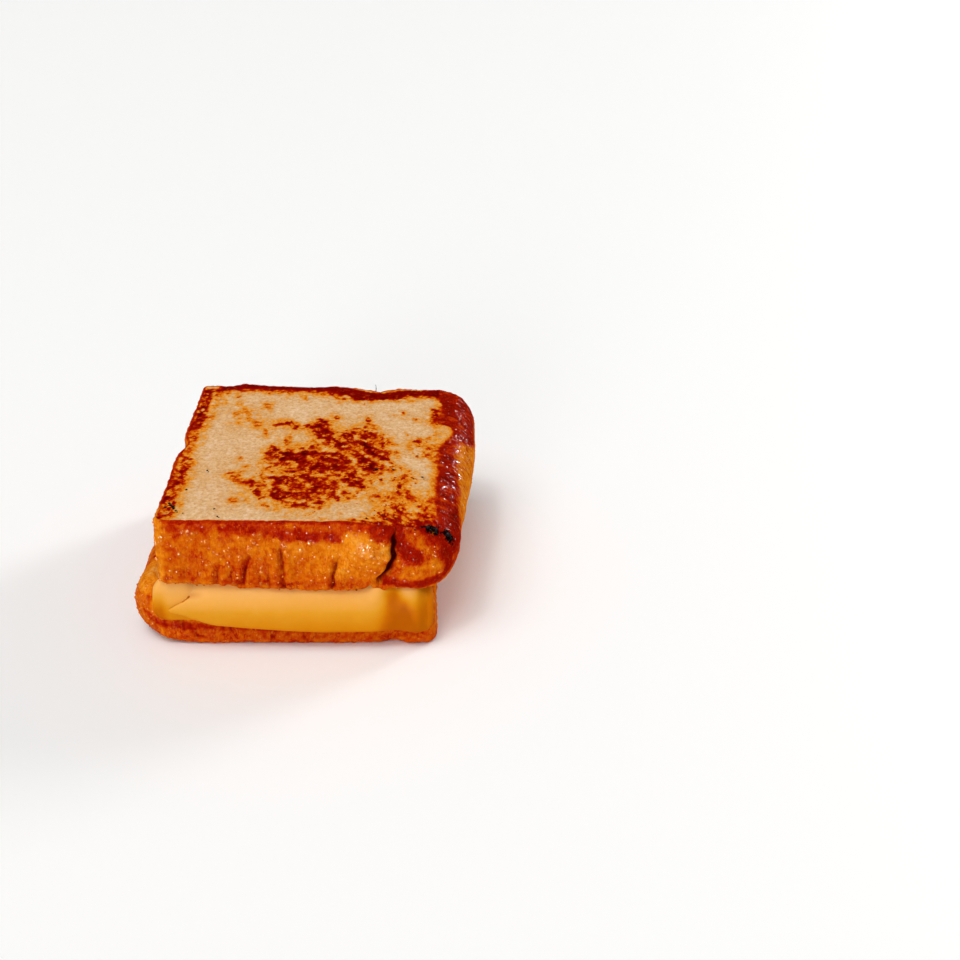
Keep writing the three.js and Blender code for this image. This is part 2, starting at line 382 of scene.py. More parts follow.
# ------------------------------------------------------------------ grids wrapped round a slice
def slice_grid(s, nu, nv, nw, row_share, under_step=1):
    """Vertices, faces (a triangle repeats its last index), part (0 rim, 1 top, 2 bottom) and share up the rim."""
    us, vs = s.along(np.linspace(0, 1, nu + 1)), s.deep(np.linspace(0, 1, nv + 1))
    sides = [us[:-1], vs[:-1], 1 - us[:0:-1], 1 - vs[:0:-1]]
    parts = [s.edge(k, t) for k, t in enumerate(sides)]
    ex, ey, enx, eny = (np.concatenate([q[i] for q in parts]) for i in range(4))

    def at(r):
        out, up = s.profile(ex, ey, r)
        return ex + enx * out, ey + eny * out, up

    lx, ly, _ = at(0.0)
    hx, hy, _ = at(1.0)
    z0, z1 = s.bottom(lx, ly), s.top(hx, hy)
    points, part, share = [], [], []
    n = len(ex)
    for r in row_share:
        x, y, up = at(r)
        points.append(np.stack([x, y, lerp(z0, z1, up)], 1))
        part.append(np.zeros(n, int))
        share.append(np.full(n, r))
    faces = []
    i = np.arange(n)
    j = (i + 1) % n
    for r in range(nw):
        a, b = r * n, (r + 1) * n
        faces.append(np.stack([a + i, a + j, b + j, b + i], 1))
    count = (nw + 1) * n
    for which, row, height, step in ((1, nw, s.top, 1), (2, 0, s.bottom, under_step)):
        ring = points[row][:, :2]
        base = row * n
        front = np.arange(nu + 1)
        right = nu + np.arange(nv + 1)
        back = (nu + nv + np.arange(nu, -1, -1)) % n
        left = (2 * nu + nv + np.arange(nv, -1, -1)) % n
        u, v = us[::step, None, None], vs[None, ::step, None]
        f, b, l, r = ring[front[::step]], ring[back[::step]], ring[left[::step]], ring[right[::step]]
        xy = (
            (1 - v) * f[:, None]
            + v * b[:, None]
            + (1 - u) * l[None]
            + u * r[None]
            - (1 - u) * (1 - v) * f[0]
            - u * (1 - v) * f[-1]
            - (1 - u) * v * b[0]
            - u * v * b[-1]
        )
        mu, mv = nu // step, nv // step
        ids = np.zeros((mu + 1, mv + 1), int)
        ids[:, 0], ids[:, -1] = base + front[::step], base + back[::step]
        ids[0, :], ids[-1, :] = base + left[::step], base + right[::step]
        inner = (mu - 1) * (mv - 1)
        ids[1:-1, 1:-1] = count + np.arange(inner).reshape(mu - 1, mv - 1)
        count += inner
        x, y = xy[1:-1, 1:-1, 0].ravel(), xy[1:-1, 1:-1, 1].ravel()
        points.append(np.stack([x, y, height(x, y)], 1))
        part.append(np.full(inner, which))
        share.append(np.full(inner, 1.0 if which == 1 else 0.0))
        q = np.stack([ids[:-1, :-1], ids[1:, :-1], ids[1:, 1:], ids[:-1, 1:]], -1)
        if step == 2:
            # A fan of triangles joins each coarse cell of the border to the rim's own points.
            fans = []
            for a in range(mu):
                for c in range(mv):
                    if 0 < a < mu - 1 and 0 < c < mv - 1:
                        continue
                    loop = [q[a, c, 0]]
                    loop += [base + front[2 * a + 1]] * (c == 0) + [q[a, c, 1]]
                    loop += [base + right[2 * c + 1]] * (a == mu - 1) + [q[a, c, 2]]
                    loop += [base + back[2 * a + 1]] * (c == mv - 1) + [q[a, c, 3]]
                    loop += [base + left[2 * c + 1]] * (a == 0)
                    k = next(i for i, w in enumerate(loop) if not base <= w < base + n)
                    loop = loop[k:] + loop[:k]
                    fans += [(loop[0], loop[i], loop[i + 1], loop[i + 1]) for i in range(1, len(loop) - 1)]
            q = np.concatenate([q[1:-1, 1:-1].reshape(-1, 4), np.array(fans)])
        else:
            q = q.reshape(-1, 4)
        if which == 2:
            q = np.where((q[:, 2] == q[:, 3])[:, None], q[:, [0, 2, 1, 1]], q[:, ::-1])
        faces.append(q)
    p = np.concatenate(points)
    p[:, 0] += s.lean(p[:, 0], p[:, 1], p[:, 2])
    p = np.stack(s.shape(p[:, 0], p[:, 1], p[:, 2]), 1)
    return p, np.concatenate(faces), np.concatenate(part), np.concatenate(share)


def normals(p, faces):
    a, b, c, d = (p[faces[:, k]] for k in range(4))
    n = np.cross(c - a, d - b)
    total = np.zeros_like(p)
    for k in range(4):
        for axis in range(3):
            total[:, axis] += np.bincount(faces[:, k], n[:, axis], len(p))
    return total / np.maximum(np.linalg.norm(total, axis=1), 1e-12)[:, None]


def blurred(value, faces, n, times):
    for _ in range(times):
        total, count = np.zeros(n), np.zeros(n)
        mean = value[faces].mean(1)
        for k in range(4):
            total += np.bincount(faces[:, k], mean, n)
            count += np.bincount(faces[:, k], minlength=n)
        value = total / np.maximum(count, 1)
    return value


def make_object(name, p, faces, fields, material):
    mesh = bpy.data.meshes.new(name)
    q = (p + SHIFT) * MM
    mesh.vertices.add(len(q))
    mesh.vertices.foreach_set("co", q.astype(np.float32).ravel())
    quad = faces[:, 2] != faces[:, -1] if faces.shape[1] == 4 else np.zeros(len(faces), bool)
    flat = np.concatenate([faces[quad].ravel(), faces[~quad][:, :3].ravel()])
    sizes = np.concatenate([np.full(quad.sum(), 4), np.full((~quad).sum(), 3)])
    mesh.loops.add(len(flat))
    mesh.loops.foreach_set("vertex_index", flat.astype(np.int32))
    mesh.polygons.add(len(sizes))
    start = np.concatenate([[0], np.cumsum(sizes)[:-1]])
    mesh.polygons.foreach_set("loop_start", start.astype(np.int32))
    mesh.polygons.foreach_set("loop_total", sizes.astype(np.int32))
    mesh.update(calc_edges=True)
    mesh.validate()
    mesh.polygons.foreach_set("use_smooth", np.ones(len(mesh.polygons), bool))
    for key, value in fields.items():
        a = mesh.attributes.new(key, "FLOAT", "POINT")
        a.data.foreach_set("value", np.asarray(value, np.float32))
    mesh.update()
    o = bpy.data.objects.new(name, mesh)
    bpy.context.scene.collection.objects.link(o)
    mesh.materials.append(material)
    return o


# ------------------------------------------------------------------ marks left by the griddle
# Each mark is a stroke from one point to another with a radius and a strength from 0, pale, to 1, burnt.
# They are joined softly, so that marks that meet build up.
def strokes(x, y, marks, soft=1.0, grow=0.0):
    left = np.ones_like(x)
    for x0, y0, x1, y1, r, s in marks:
        r = r + grow
        dx, dy = x1 - x0, y1 - y0
        t = clamp(((x - x0) * dx + (y - y0) * dy) / max(dx * dx + dy * dy, 1e-9))
        d = np.hypot(x - x0 - t * dx, y - y0 - t * dy)
        left = left * (1 - s * smooth(r * (1 + soft), r * (1 - 0.6 * soft), d))
    return 1 - left


GLOW = [  # broad golden browning
    (0, -26, 10, -24, 16, 0.42), (0, -8, 18, -6, 12, 0.36), (6, 14, 18, 6, 8, 0.36), (-8, 12, -4, 4, 5, 0.2),
    (34, -42, 42, -52, 9, 0.66), (14, -51.4, 30, -51.4, 2.2, 0.4), (38, 6, 42, -6, 4, 0.30), (38, -34, 34, -24, 4, 0.28), (44.4, 36, 44.6, -34, 2.3, 0.62),
    (-40.6, 48, -40.6, 18, 3.0, 0.50), (-40, 18, -40, -46, 2.4, 0.36), (-45.8, 52, -45.6, -50, 1.9, 0.9), (-43.4, 17, -43.0, -2, 1.7, 0.7), (-44, 52, -36, 52, 1.6, 0.6), (-36, 47.6, 44, 46.6, 3.0, 0.55), (2, 45, 12, 42, 4, 0.25), (14, 43, 34, 42, 3.5, 0.55),
    (-27, 34, -22, 18, 5, 0.16), (-36, 40, -34, 20, 3, 0.12), (-22, -22, -19, -40, 6, 0.16), (8, 44, 9, 38, 2.4, 0.34), (-19, 35, -18.6, 30, 2, 0.25),
    (-14, 20, -12, 10, 4, 0.14), (16, 26, 20, 16, 4, 0.25), (26, 12, 28, 2, 3, 0.22), (20, -4, 24, -14, 3.4, 0.5), (-11, -3, -5, -8, 3.0, 0.4), (-20, 14, -17, 10, 3, 0.2),
]
MARKS = [
    # a broken arc at the back left, and the band that runs down from its end
    (-14.4, 17.9, -10.6, 20.6, 0.9, 0.45), (-10.6, 20.7, -9.4, 20.6, 1.0, 0.62), (-9.4, 20, -7.4, 17.6, 1.0, 0.5), (-7.4, 17.2, -6.4, 15.4, 0.9, 0.5), (-6, 18, -3.4, 18.6, 0.8, 0.45), (-3.4, 18.5, -1, 17, 1.0, 0.5),
    (1.2, 22.6, 2.6, 19.6, 1.2, 0.62), (2.0, 19, 2.8, 14.6, 2.6, 0.66), (1, 15.6, 1.6, 12, 1.4, 0.5), (3.4, 13, 5.0, 8.8, 2.3, 0.68), (5.4, 12.6, 6.6, 10, 1.2, 0.45), (5, 8, 9, 3.2, 1.9, 0.7), (8.6, 3.6, 11.2, 0.2, 1.8, 0.66),
    # the back right
    (12.0, 10.6, 13.4, 7.0, 1.4, 0.86), (10.4, 11.8, 12, 11, 0.8, 0.4), (14.6, 15.4, 17.6, 16.6, 0.9, 0.4), (14.4, 13.6, 15.4, 11, 0.8, 0.42), (16.6, 12, 18.4, 9, 1.2, 0.42),
    (18.6, 13.4, 19.6, 11.6, 1.3, 0.66), (20.0, 12, 21.2, 9.4, 1.4, 0.8), (17, 8.8, 20, 5, 1.4, 0.56), (16.6, 5, 19.6, 1.4, 2.2, 0.72), (19.4, 2.6, 21.6, -1.2, 2.2, 0.74), (13.6, 6.4, 16.6, 4.6, 1.0, 0.5), (12.6, 3.0, 13.4, 1.0, 0.8, 0.6),
    (18.9, 24.4, 19.1, 22.8, 0.9, 0.7), (18.8, 20, 18.4, 17.6, 1.1, 0.36), (20.6, 18.6, 21.6, 15, 0.9, 0.36), (24.9, 9.4, 25.3, 5.6, 0.5, 0.62), (25.3, 5, 25.6, 1.0, 0.5, 0.66), (27.4, 7, 27.6, 4, 0.6, 0.3),
    # the middle left
    (-13.4, 1.4, -12.4, -1.6, 0.7, 0.6), (-12.6, -2.4, -8.6, -4.4, 1.9, 0.7), (-9.4, -5.4, -5.4, -6.6, 2.5, 0.76), (-8, -8, -6.8, -11, 1.8, 0.68), (-7.8, -1.6, -7.4, -3, 1.0, 0.56), (-4.6, -5.6, -2.2, -6.4, 1.8, 0.56),
    (-2.8, 0.2, -2.6, -3, 0.8, 0.6), (-1.6, -3.4, 1.4, -4.4, 1.9, 0.66), (0.2, -0.6, 1.4, 2.2, 1.2, 0.66), (3, -4.4, 4, -6.6, 1.0, 0.56), (-3.4, -8.6, -1.6, -9.6, 1.4, 0.5), (-12, -13, -9.6, -10, 1.6, 0.28),
    # the middle
    (6, -3.8, 9.6, -5, 1.4, 0.6), (9.6, -4.6, 11.4, -6, 1.2, 0.7), (12.6, -7.6, 14, -10, 1.4, 0.66), (5.6, -8, 8.6, -10.6, 2.0, 0.56), (8.6, -9, 11, -12.6, 1.6, 0.5), (3, -9.6, 5, -11.4, 1.4, 0.46), (0.6, -11, 3, -13.6, 1.8, 0.54),
    (4.6, -13, 9, -14.8, 1.9, 0.54), (10, -14, 13.6, -15.6, 1.6, 0.56), (12.6, -16, 15, -17.4, 1.3, 0.5), (-1, -14, 1.6, -15.6, 1.6, 0.6), (2.6, -16.4, 6.4, -17.4, 1.5, 0.5), (-5.6, -16.4, -4.6, -17.6, 0.9, 0.62), (-6, -14.6, -3.6, -15, 0.8, 0.36), (8, -18.4, 12, -19, 1.1, 0.36),
    # the middle right
    (21.6, -1, 23.6, -1.8, 1.7, 0.74), (24.6, -2.4, 27.6, -4.6, 1.4, 0.6), (27.4, -4.8, 28, -7.6, 0.9, 0.62), (22.6, -3.6, 25, -6.6, 1.5, 0.56), (18.4, -5.8, 19.4, -8.6, 1.5, 0.74), (19, -9, 19.6, -13.2, 1.7, 0.72), (21, -9.8, 22.4, -11.6, 1.5, 0.72),
    (22.6, -12.6, 24.6, -14.6, 1.7, 0.86), (25.4, -11, 26, -14, 1.1, 0.5), (25.6, -7.6, 26.6, -10, 1.0, 0.36), (20.4, -15.4, 23.4, -16.6, 1.3, 0.5), (17.4, -17.6, 21, -18.6, 1.1, 0.4),
    # the front
    (-10.4, -22.2, -8, -22.6, 1.4, 0.6), (-8, -21.6, -4, -22.4, 1.5, 0.6), (-5.6, -24, -1.6, -26.4, 2.5, 0.78), (-3.4, -27.4, -1.8, -28.4, 1.6, 0.66), (0.4, -20.4, 2.8, -22.6, 1.7, 0.68), (2.6, -23.6, 3.8, -25.6, 1.2, 0.56), (-9.6, -25, -8.4, -28, 1.3, 0.42),
    (5.4, -22, 7, -23.6, 1.0, 0.42), (7.6, -24, 10, -25.6, 1.5, 0.6), (5, -26.6, 8, -28.2, 1.4, 0.5), (4.6, -29, 6.8, -31, 1.6, 0.64), (1, -28.6, 3.6, -30, 1.4, 0.46),
    (15.4, -19.8, 17.4, -21.4, 1.4, 0.66), (14.6, -22.6, 16.6, -25.6, 1.8, 0.72), (17.6, -24, 19.6, -27, 1.3, 0.56), (19.6, -26.4, 20.8, -27.4, 0.7, 0.5), (18.6, -21, 20, -22.4, 0.9, 0.4),
    (-8.6, -31.6, -5.4, -33.6, 2.1, 0.62), (-8.2, -34, -6, -35.2, 1.6, 0.66), (-4, -31, -1, -33, 1.5, 0.46), (0, -32, 4, -33.6, 1.5, 0.54), (-3, -35, 1, -36, 1.3, 0.5), (2, -34.6, 6, -35.4, 1.2, 0.5),
    (4.0, -37.6, 6.4, -38, 1.4, 0.84), (-5.4, -37.6, -2, -38.6, 0.8, 0.54), (-2, -38.6, 3, -39.4, 0.8, 0.54), (10.6, -31.4, 11.4, -33, 0.9, 0.5), (12, -33.6, 12.6, -36, 0.9, 0.62), (14.6, -32.4, 17, -34.4, 1.5, 0.44), (9, -28, 13, -29.4, 1.1, 0.36), (8, -32.6, 9, -35, 1.0, 0.36),
    (-17.4, -25, -16.4, -26.4, 0.8, 0.5), (-17, -27, -15, -31, 1.3, 0.40), (-14.6, -26, -13, -28.6, 1.2, 0.36), (-15, -32, -12.6, -35.6, 1.3, 0.36), (-11.6, -40, -10.2, -41.4, 0.9, 0.56), (7.4, -41.4, 8, -43, 0.7, 0.56), (-7, -40.6, 5, -41.4, 1.2, 0.28), (-14, -20, -11, -22, 1.1, 0.3),
    # single spots
    (-29.4, 27, -28, 20, 1.5, 0.32), (-24.6, 22.6, -20.6, 18.5, 1.6, 0.36), (-28, 30, -25.6, 27, 1.4, 0.28), (-31.6, 43.4, -31, 41.6, 1.0, 0.42),
    (-30, 37, -29.5, 34, 1.0, 0.30), (-36, 39, -35.5, 36, 1.0, 0.28), (-19, 35.6, -18.4, 32, 1.4, 0.38), (-6.5, 43, -5.8, 40.6, 1.0, 0.42), (-13, 42, -12.4, 41, 0.7, 0.25),
    (7.2, 26, 7.8, 24.4, 1.0, 0.52), (31.4, 29.2, 31.6, 27.6, 0.8, 0.42), (35.6, 25, 38.4, 23.4, 0.9, 0.42), (27.6, 27, 28.4, 26.4, 0.7, 0.26),
    (42.6, 34, 43.2, 30, 1.0, 0.4), (42.4, 29, 42.2, 23, 1.2, 0.38), (-24.6, -20.6, -20, -25, 2.4, 0.38), (-23.6, -7, -23.4, -9.4, 0.7, 0.36),
    (-20.4, -13, -22, -18, 1.3, 0.3), (-14, -6, -13, -15, 1.8, 0.3), (-17.6, 14, -17.2, 10, 1.1, 0.36), (-8.8, 10, -8.6, 3.6, 1.2, 0.38), (-15.6, -2, -14, -5, 1.0, 0.36),
    (-22.4, -37, -21, -37.8, 1.1, 0.34), (-18, -35.6, -17, -38.4, 1.0, 0.32), (33, 13.6, 33.2, 12, 0.7, 0.36), (36.4, 7.4, 41.4, 10.4, 0.9, 0.36), (38.6, 8, 37.6, 4, 0.8, 0.4),
    (34.6, 4, 35.4, 1, 1.0, 0.26), (30.6, -1.6, 31.4, -4, 1.0, 0.3), (37.8, -3.2, 38.3, -3.9, 0.5, 0.66), (29.8, -14.6, 30.3, -15.4, 0.55, 0.72), (41, 2, 42, -4, 1.0, 0.36),
    (32.8, -13.4, 35.6, -15.2, 0.8, 0.52), (33, -25.6, 32.7, -29.4, 0.7, 0.62), (26.1, -22.2, 26.5, -22.9, 0.5, 0.68), (34, -30, 38.4, -34.6, 2.1, 0.36), (37, -20.2, 37.4, -20.6, 0.5, 0.72),
    (28, -33.4, 24.6, -35.4, 1.6, 0.28), (32, -22.4, 34, -18.6, 1.0, 0.36), (22, -24, 22.6, -27, 1.0, 0.32), (31, -36, 34, -39, 1.4, 0.34), (20, -31, 26, -33, 1.2, 0.25), (29, -10, 29.6, -12.6, 0.7, 0.34),
    # freckles near the front right corner
    (27.4, -44, 29, -45.6, 0.9, 0.62), (29.6, -46.6, 31.4, -47.2, 0.8, 0.62), (27, -50, 30, -50.4, 0.9, 0.66), (33.6, -48.4, 36, -49.4, 0.9, 0.56),
    (35.6, -41.6, 37.6, -44, 1.1, 0.48), (32.6, -40.4, 34, -42, 0.8, 0.52), (39, -45.6, 41.6, -49, 1.8, 0.52), (31.4, -36.6, 32.4, -38.8, 0.8, 0.48), (31, -43.4, 33.6, -45.6, 0.7, 0.42),
    (40.6, -35.6, 41.6, -40.4, 1.1, 0.42), (37, -48.2, 39.6, -51, 1.6, 0.52), (23.2, -48, 23.5, -48.4, 0.45, 0.66), (18, -49.6, 26, -50.6, 0.9, 0.34), (42.4, -41, 43, -46, 0.9, 0.46),
    (8, -48.6, 8.6, -49.4, 0.4, 0.4), (14, -45.6, 15, -46, 0.5, 0.3), (-4, -47.6, -3, -48, 0.4, 0.22), (3, -46, 4.4, -46.4, 0.5, 0.22),
    # the margins: dark along the left and the back edge
    (-43.0, 48, -42.6, 18.6, 1.3, 0.80), (-41.6, 31, -41.4, 24, 0.9, 0.5), (-43.4, 18, -42.6, 4, 2.0, 0.34), (-41.8, -8.6, -41.4, -27, 1.4, 0.62),
    (-43.6, -2, -43.4, -30, 1.2, 0.38), (-43, -30, -42.4, -49, 2.0, 0.46), (-43, -35, -41, -46, 1.4, 0.50), (-42.4, 47.6, -30, 49.6, 1.1, 0.55),
    (-37, 50.4, -28, 50.9, 1.7, 0.86), (-28, 50.9, 4, 50.2, 2.1, 0.92), (4, 49.8, 14, 46.4, 2.6, 0.92), (14, 45.0, 28, 44.2, 3.0, 0.92), (15, 41.8, 26, 41.8, 1.3, 0.6), (28, 46.4, 44, 48.6, 2.1, 0.84),
    (16.4, 39, 16.9, 35.6, 0.35, 0.55), (40, 48.6, 44, 46.6, 1.4, 0.5), (4.6, 45.4, 8, 41.4, 1.5, 0.4), (-36, 47.4, -24, 47.2, 1.0, 0.34), (-20, 48, 2, 47.6, 1.0, 0.3), (30, 43.6, 36, 44.6, 1.4, 0.3),
]
# Browning on the front crust, as (x, z), and on the lobe right of the crease.
FRONT_DARK = [
    (-43, 48.8, 30, 48.6, 0.7, 0.62), (-42, 47.4, 24, 47.0, 1.5, 0.20), (-40.6, 46.6, -37.5, 44.6, 1.3, 0.52), (-34, 47.4, -20, 47.2, 1.0, 0.26), (-20, 46.8, -9, 46.2, 1.2, 0.36), (-33, 46, -27, 45.6, 1.0, 0.30), (-24, 45.6, -17, 45.2, 1.2, 0.34), (-16, 45, -10, 44.6, 1.2, 0.32),
    (-8.6, 45, -4, 43.4, 1.5, 0.58), (-4, 43.6, 1, 44.2, 1.6, 0.52), (1, 44.2, 7, 43.2, 1.6, 0.56), (7, 43.6, 14.0, 43.6, 1.5, 0.6), (-2.6, 42.4, -1, 41.8, 0.9, 0.42), (10.6, 42.4, 13.6, 42.0, 1.2, 0.6), (4, 42.6, 7, 42.2, 1.0, 0.3),
    (25, 45, 29.6, 43.6, 1.9, 0.62), (16, 46.6, 19, 45.6, 0.9, 0.36), (21, 46.8, 25, 46.4, 1.1, 0.42), (27.6, 42.4, 29.6, 41, 0.8, 0.42), (27, 47.6, 33.6, 46.4, 1.5, 0.62), (20, 44, 22, 43.8, 0.6, 0.3),
    (31.0, 45.6, 33.4, 41.0, 2.0, 0.85), (33.4, 41.0, 39.6, 34.4, 2.1, 0.95), (34, 36.4, 36.4, 33.6, 1.6, 0.34), (33, 45.6, 38, 44.4, 1.3, 0.44), (40, 46.6, 47, 44.6, 1.7, 0.46), (38, 42.6, 39.4, 41, 0.8, 0.3),
    (44.6, 40.6, 49, 35, 2.2, 0.7), (49, 35, 50, 29, 1.6, 0.5), (28.4, 26.4, 40, 24.4, 1.3, 0.8), (40, 24.4, 49, 26.6, 1.6, 0.8), (31, 34, 32.6, 29, 1.3, 0.36), (36, 29.6, 44, 27.6, 1.6, 0.2),
    (-42, 27.4, -24, 27.0, 1.2, 0.18), (-24, 26.2, 20, 24.8, 1.1, 0.24), (-38, 38, -30, 33, 2.5, 0.12), (-20, 35, -10, 30, 3, 0.14), (-34, 41.4, -33, 40, 0.8, 0.2), (-24, 42.4, -21, 41.4, 0.9, 0.22), (-13, 42, -11, 41, 0.9, 0.2),
]
# Paler places on the front crust, as (x, z): partly paler browning, partly painted light on the swelling beside the
# crease and on the rounded left corner.
FRONT_PALER_AND_PAINTED_LIGHT = [
    (-45.4, 48, -45.8, 27, 1.5, 0.66), (-2, 36, 14, 35, 4.5, 0.30), (14, 34, 26, 36, 5.5, 0.55), (19.6, 41, 27.6, 38, 2.8, 0.75), (15.6, 42.8, 22, 43.4, 1.5, 0.36), (36, 28.6, 46, 30.6, 2.5, 0.34),
    (-30, 40, -24, 41, 2.2, 0.22), (-14, 39, -8, 38, 2.4, 0.24), (-38, 41, -36, 36, 1.8, 0.2), (40, 42.6, 43, 40.6, 1.6, 0.36), (45, 33, 47, 36, 1.4, 0.25), (2, 39, 6, 40, 1.6, 0.34),
    (-31, 36, -29, 33, 1.6, 0.2), (-20, 38, -18, 36, 1.4, 0.2), (-6, 32, -5.6, 29, 1.2, 0.2), (8, 31, 10, 28, 1.6, 0.25),
]
# Beads of butter on the front crust that catch the light: x, z, radius.
BEADS = [
    (-38.2, 37.2, 0.8), (-34.6, 45.2, 0.7), (-33.0, 44.6, 0.5), (-29.4, 41.6, 0.6), (-26.6, 37.4, 0.5), (-18.4, 43, 0.5), (-13.2, 44.4, 0.5), (-3.8, 40.2, 0.7), (-8.6, 37, 0.45), (1.6, 38.6, 1.1), (4.6, 41.2, 0.8), (6.2, 41.0, 0.6),
    (-15.6, 38.6, 0.4), (-23, 33.4, 0.45), (-30.6, 34, 0.4), (-35.4, 31.4, 0.4), (11.6, 42.4, 0.5), (17, 43.8, 0.5), (20.6, 40.4, 0.8), (22.2, 39.6, 0.9), (23.8, 40.2, 0.8), (24.6, 38.2, 0.8), (25.8, 36.6, 0.7), (21.6, 37.6, 0.6),
    (27.8, 41.2, 0.5), (24.8, 42.8, 0.5), (0.4, 33.6, 0.4), (-11.4, 32.4, 0.4), (14.4, 37, 0.5), (9.4, 35.4, 0.45), (-19.8, 29.6, 0.4), (-27.8, 29.4, 0.4), (-39.6, 30.2, 0.4), (4.0, 29.6, 0.4), (16.8, 30.6, 0.45), (-6.4, 26.6, 0.4),
    (36, 45, 0.5), (41, 37, 0.45), (44.6, 31.4, 0.5), (38, 29, 0.45), (48.6, 40.4, 0.5), (34.6, 32.6, 0.4), (46.6, 28.4, 0.4), (39.6, 43.6, 0.4),
]


# Where freckles gather: x0, y0, x1, y1, radius, share.
FRECKLED = [
    (32, -44, 40, -50, 8, 1.0), (36, -30, 34, -20, 4.5, 0.8), (37, -6, 40, 8, 3.5, 0.6), (-12, -30, -14, -12, 5, 0.5), (4, -43, 18, -40, 4, 0.6), (20, -30, 24, -22, 4, 0.6),
    (2, -28, 12, -8, 14, 0.55), (12, 6, 20, 10, 7, 0.5), (30, -14, 32, -16, 3, 0.5), (-27, 24, -22, 20, 4, 0.3), (40, 28, 42, 22, 3, 0.5), (10, -48, 26, -50, 2, 0.5),
]


def top_toast(p):
    """Browning of the upper slice's grilled face."""
    w1, w2 = noise(p, 4.2, 11), noise(p, 4.2, 12)
    w3, w4 = noise(p, 1.6, 13), noise(p, 1.6, 14)
    x = p[:, 0] + 0.45 * w1 + 0.65 * w3
    y = p[:, 1] + 0.45 * w2 + 0.65 * w4
    glow = strokes(x, y, GLOW, 0.9)
    marks = strokes(x, y, MARKS, 0.5)
    skirt = strokes(x, y, MARKS, 0.9, 1.9)
    patchy = clamp(0.5 + 0.7 * fbm(p, 3.0, 15, 3))
    pale = 0.5 + 0.5 * fbm(p, 13.0, 16, 3)
    clump = fbm(p, 2.3, 18, 2)
    level = 0.05 + 0.14 * pale + 0.26 * skirt * (0.12 + 1.10 * patchy) + (0.10 + 0.34 * patchy) * glow * (1 - 0.6 * marks)
    level = level + 0.45 * marks + 0.22 * marks * smooth(0.35, 0.75, patchy) + 0.42 * marks * clump
    level = level - 0.06 * marks * smooth(-8, -14, y)
    back = strokes(x, y, [m for m in MARKS if m[5] in (0.86, 0.92, 0.84) and m[1] > 43 and m[3] > 40], 0.5)
    level = level + (0.96 + 0.08 * clump - level) * back * 0.97
    return level, marks, clamp(glow + skirt), strokes(x, y, FRECKLED, 0.8)


# ------------------------------------------------------------------ the upper slice
def crumb_pits(p, seed):
    """Open pores of a cut face: how much of a pit a point is in, and how deep that is in mm."""
    pit, deep = np.zeros(len(p)), np.zeros(len(p))
    for size, depth, keep, k in ((1.25, 0.20, 0.55, 0), (2.1, 0.30, 0.36, 10), (3.6, 0.42, 0.16, 20), (6.0, 0.50, 0.06, 30)):
        q = p + 0.3 * noise(p, 1.2, seed + k + 5)[:, None]
        d, r = cells(q, (size, size, size), seed + k)
        hole = smooth(0.40, 0.12, d) * (r < keep)
        pit = np.maximum(pit, hole * (0.6 + 0.4 * r / keep))
        deep = deep + depth * hole
    return pit, deep


def crust_relief(p, side, seed):
    """Leathery skin of a crust: soft lumps, and pebbles with small dimples between them."""
    d, _ = cells(p + 0.35 * noise(p, 2.0, seed + 9)[:, None], (1.9, 1.9, 1.6), seed)
    d2, r2 = cells(p, (3.4, 3.4, 2.6), seed + 20)
    pebble = 0.20 * smooth(0.62, 0.08, d) + 0.16 * smooth(0.5, 0.1, d2) * (r2 < 0.6)
    return side * (0.20 * fbm(p, 3.4, seed + 1, 2) + 0.08 * noise(p, 1.3, seed + 2) + pebble), d


def roll_wrinkles(p, seed):
    """Wrinkles that run across a domed crust: 1 on a ridge, 0 in a furrow."""
    bend = 2.2 * noise(p * [1, 0.35, 1], 7.0, seed + 1)
    q = np.stack([p[:, 0] * 0.22, p[:, 1] + bend, p[:, 2] * 0.22], 1)
    a = np.abs(noise(q, (3.0, 2.3, 3.0), seed)) * 2.6
    b = np.abs(noise(q + 9.3, (2.0, 1.25, 2.0), seed + 2)) * 2.6
    return clamp(a), clamp(b)


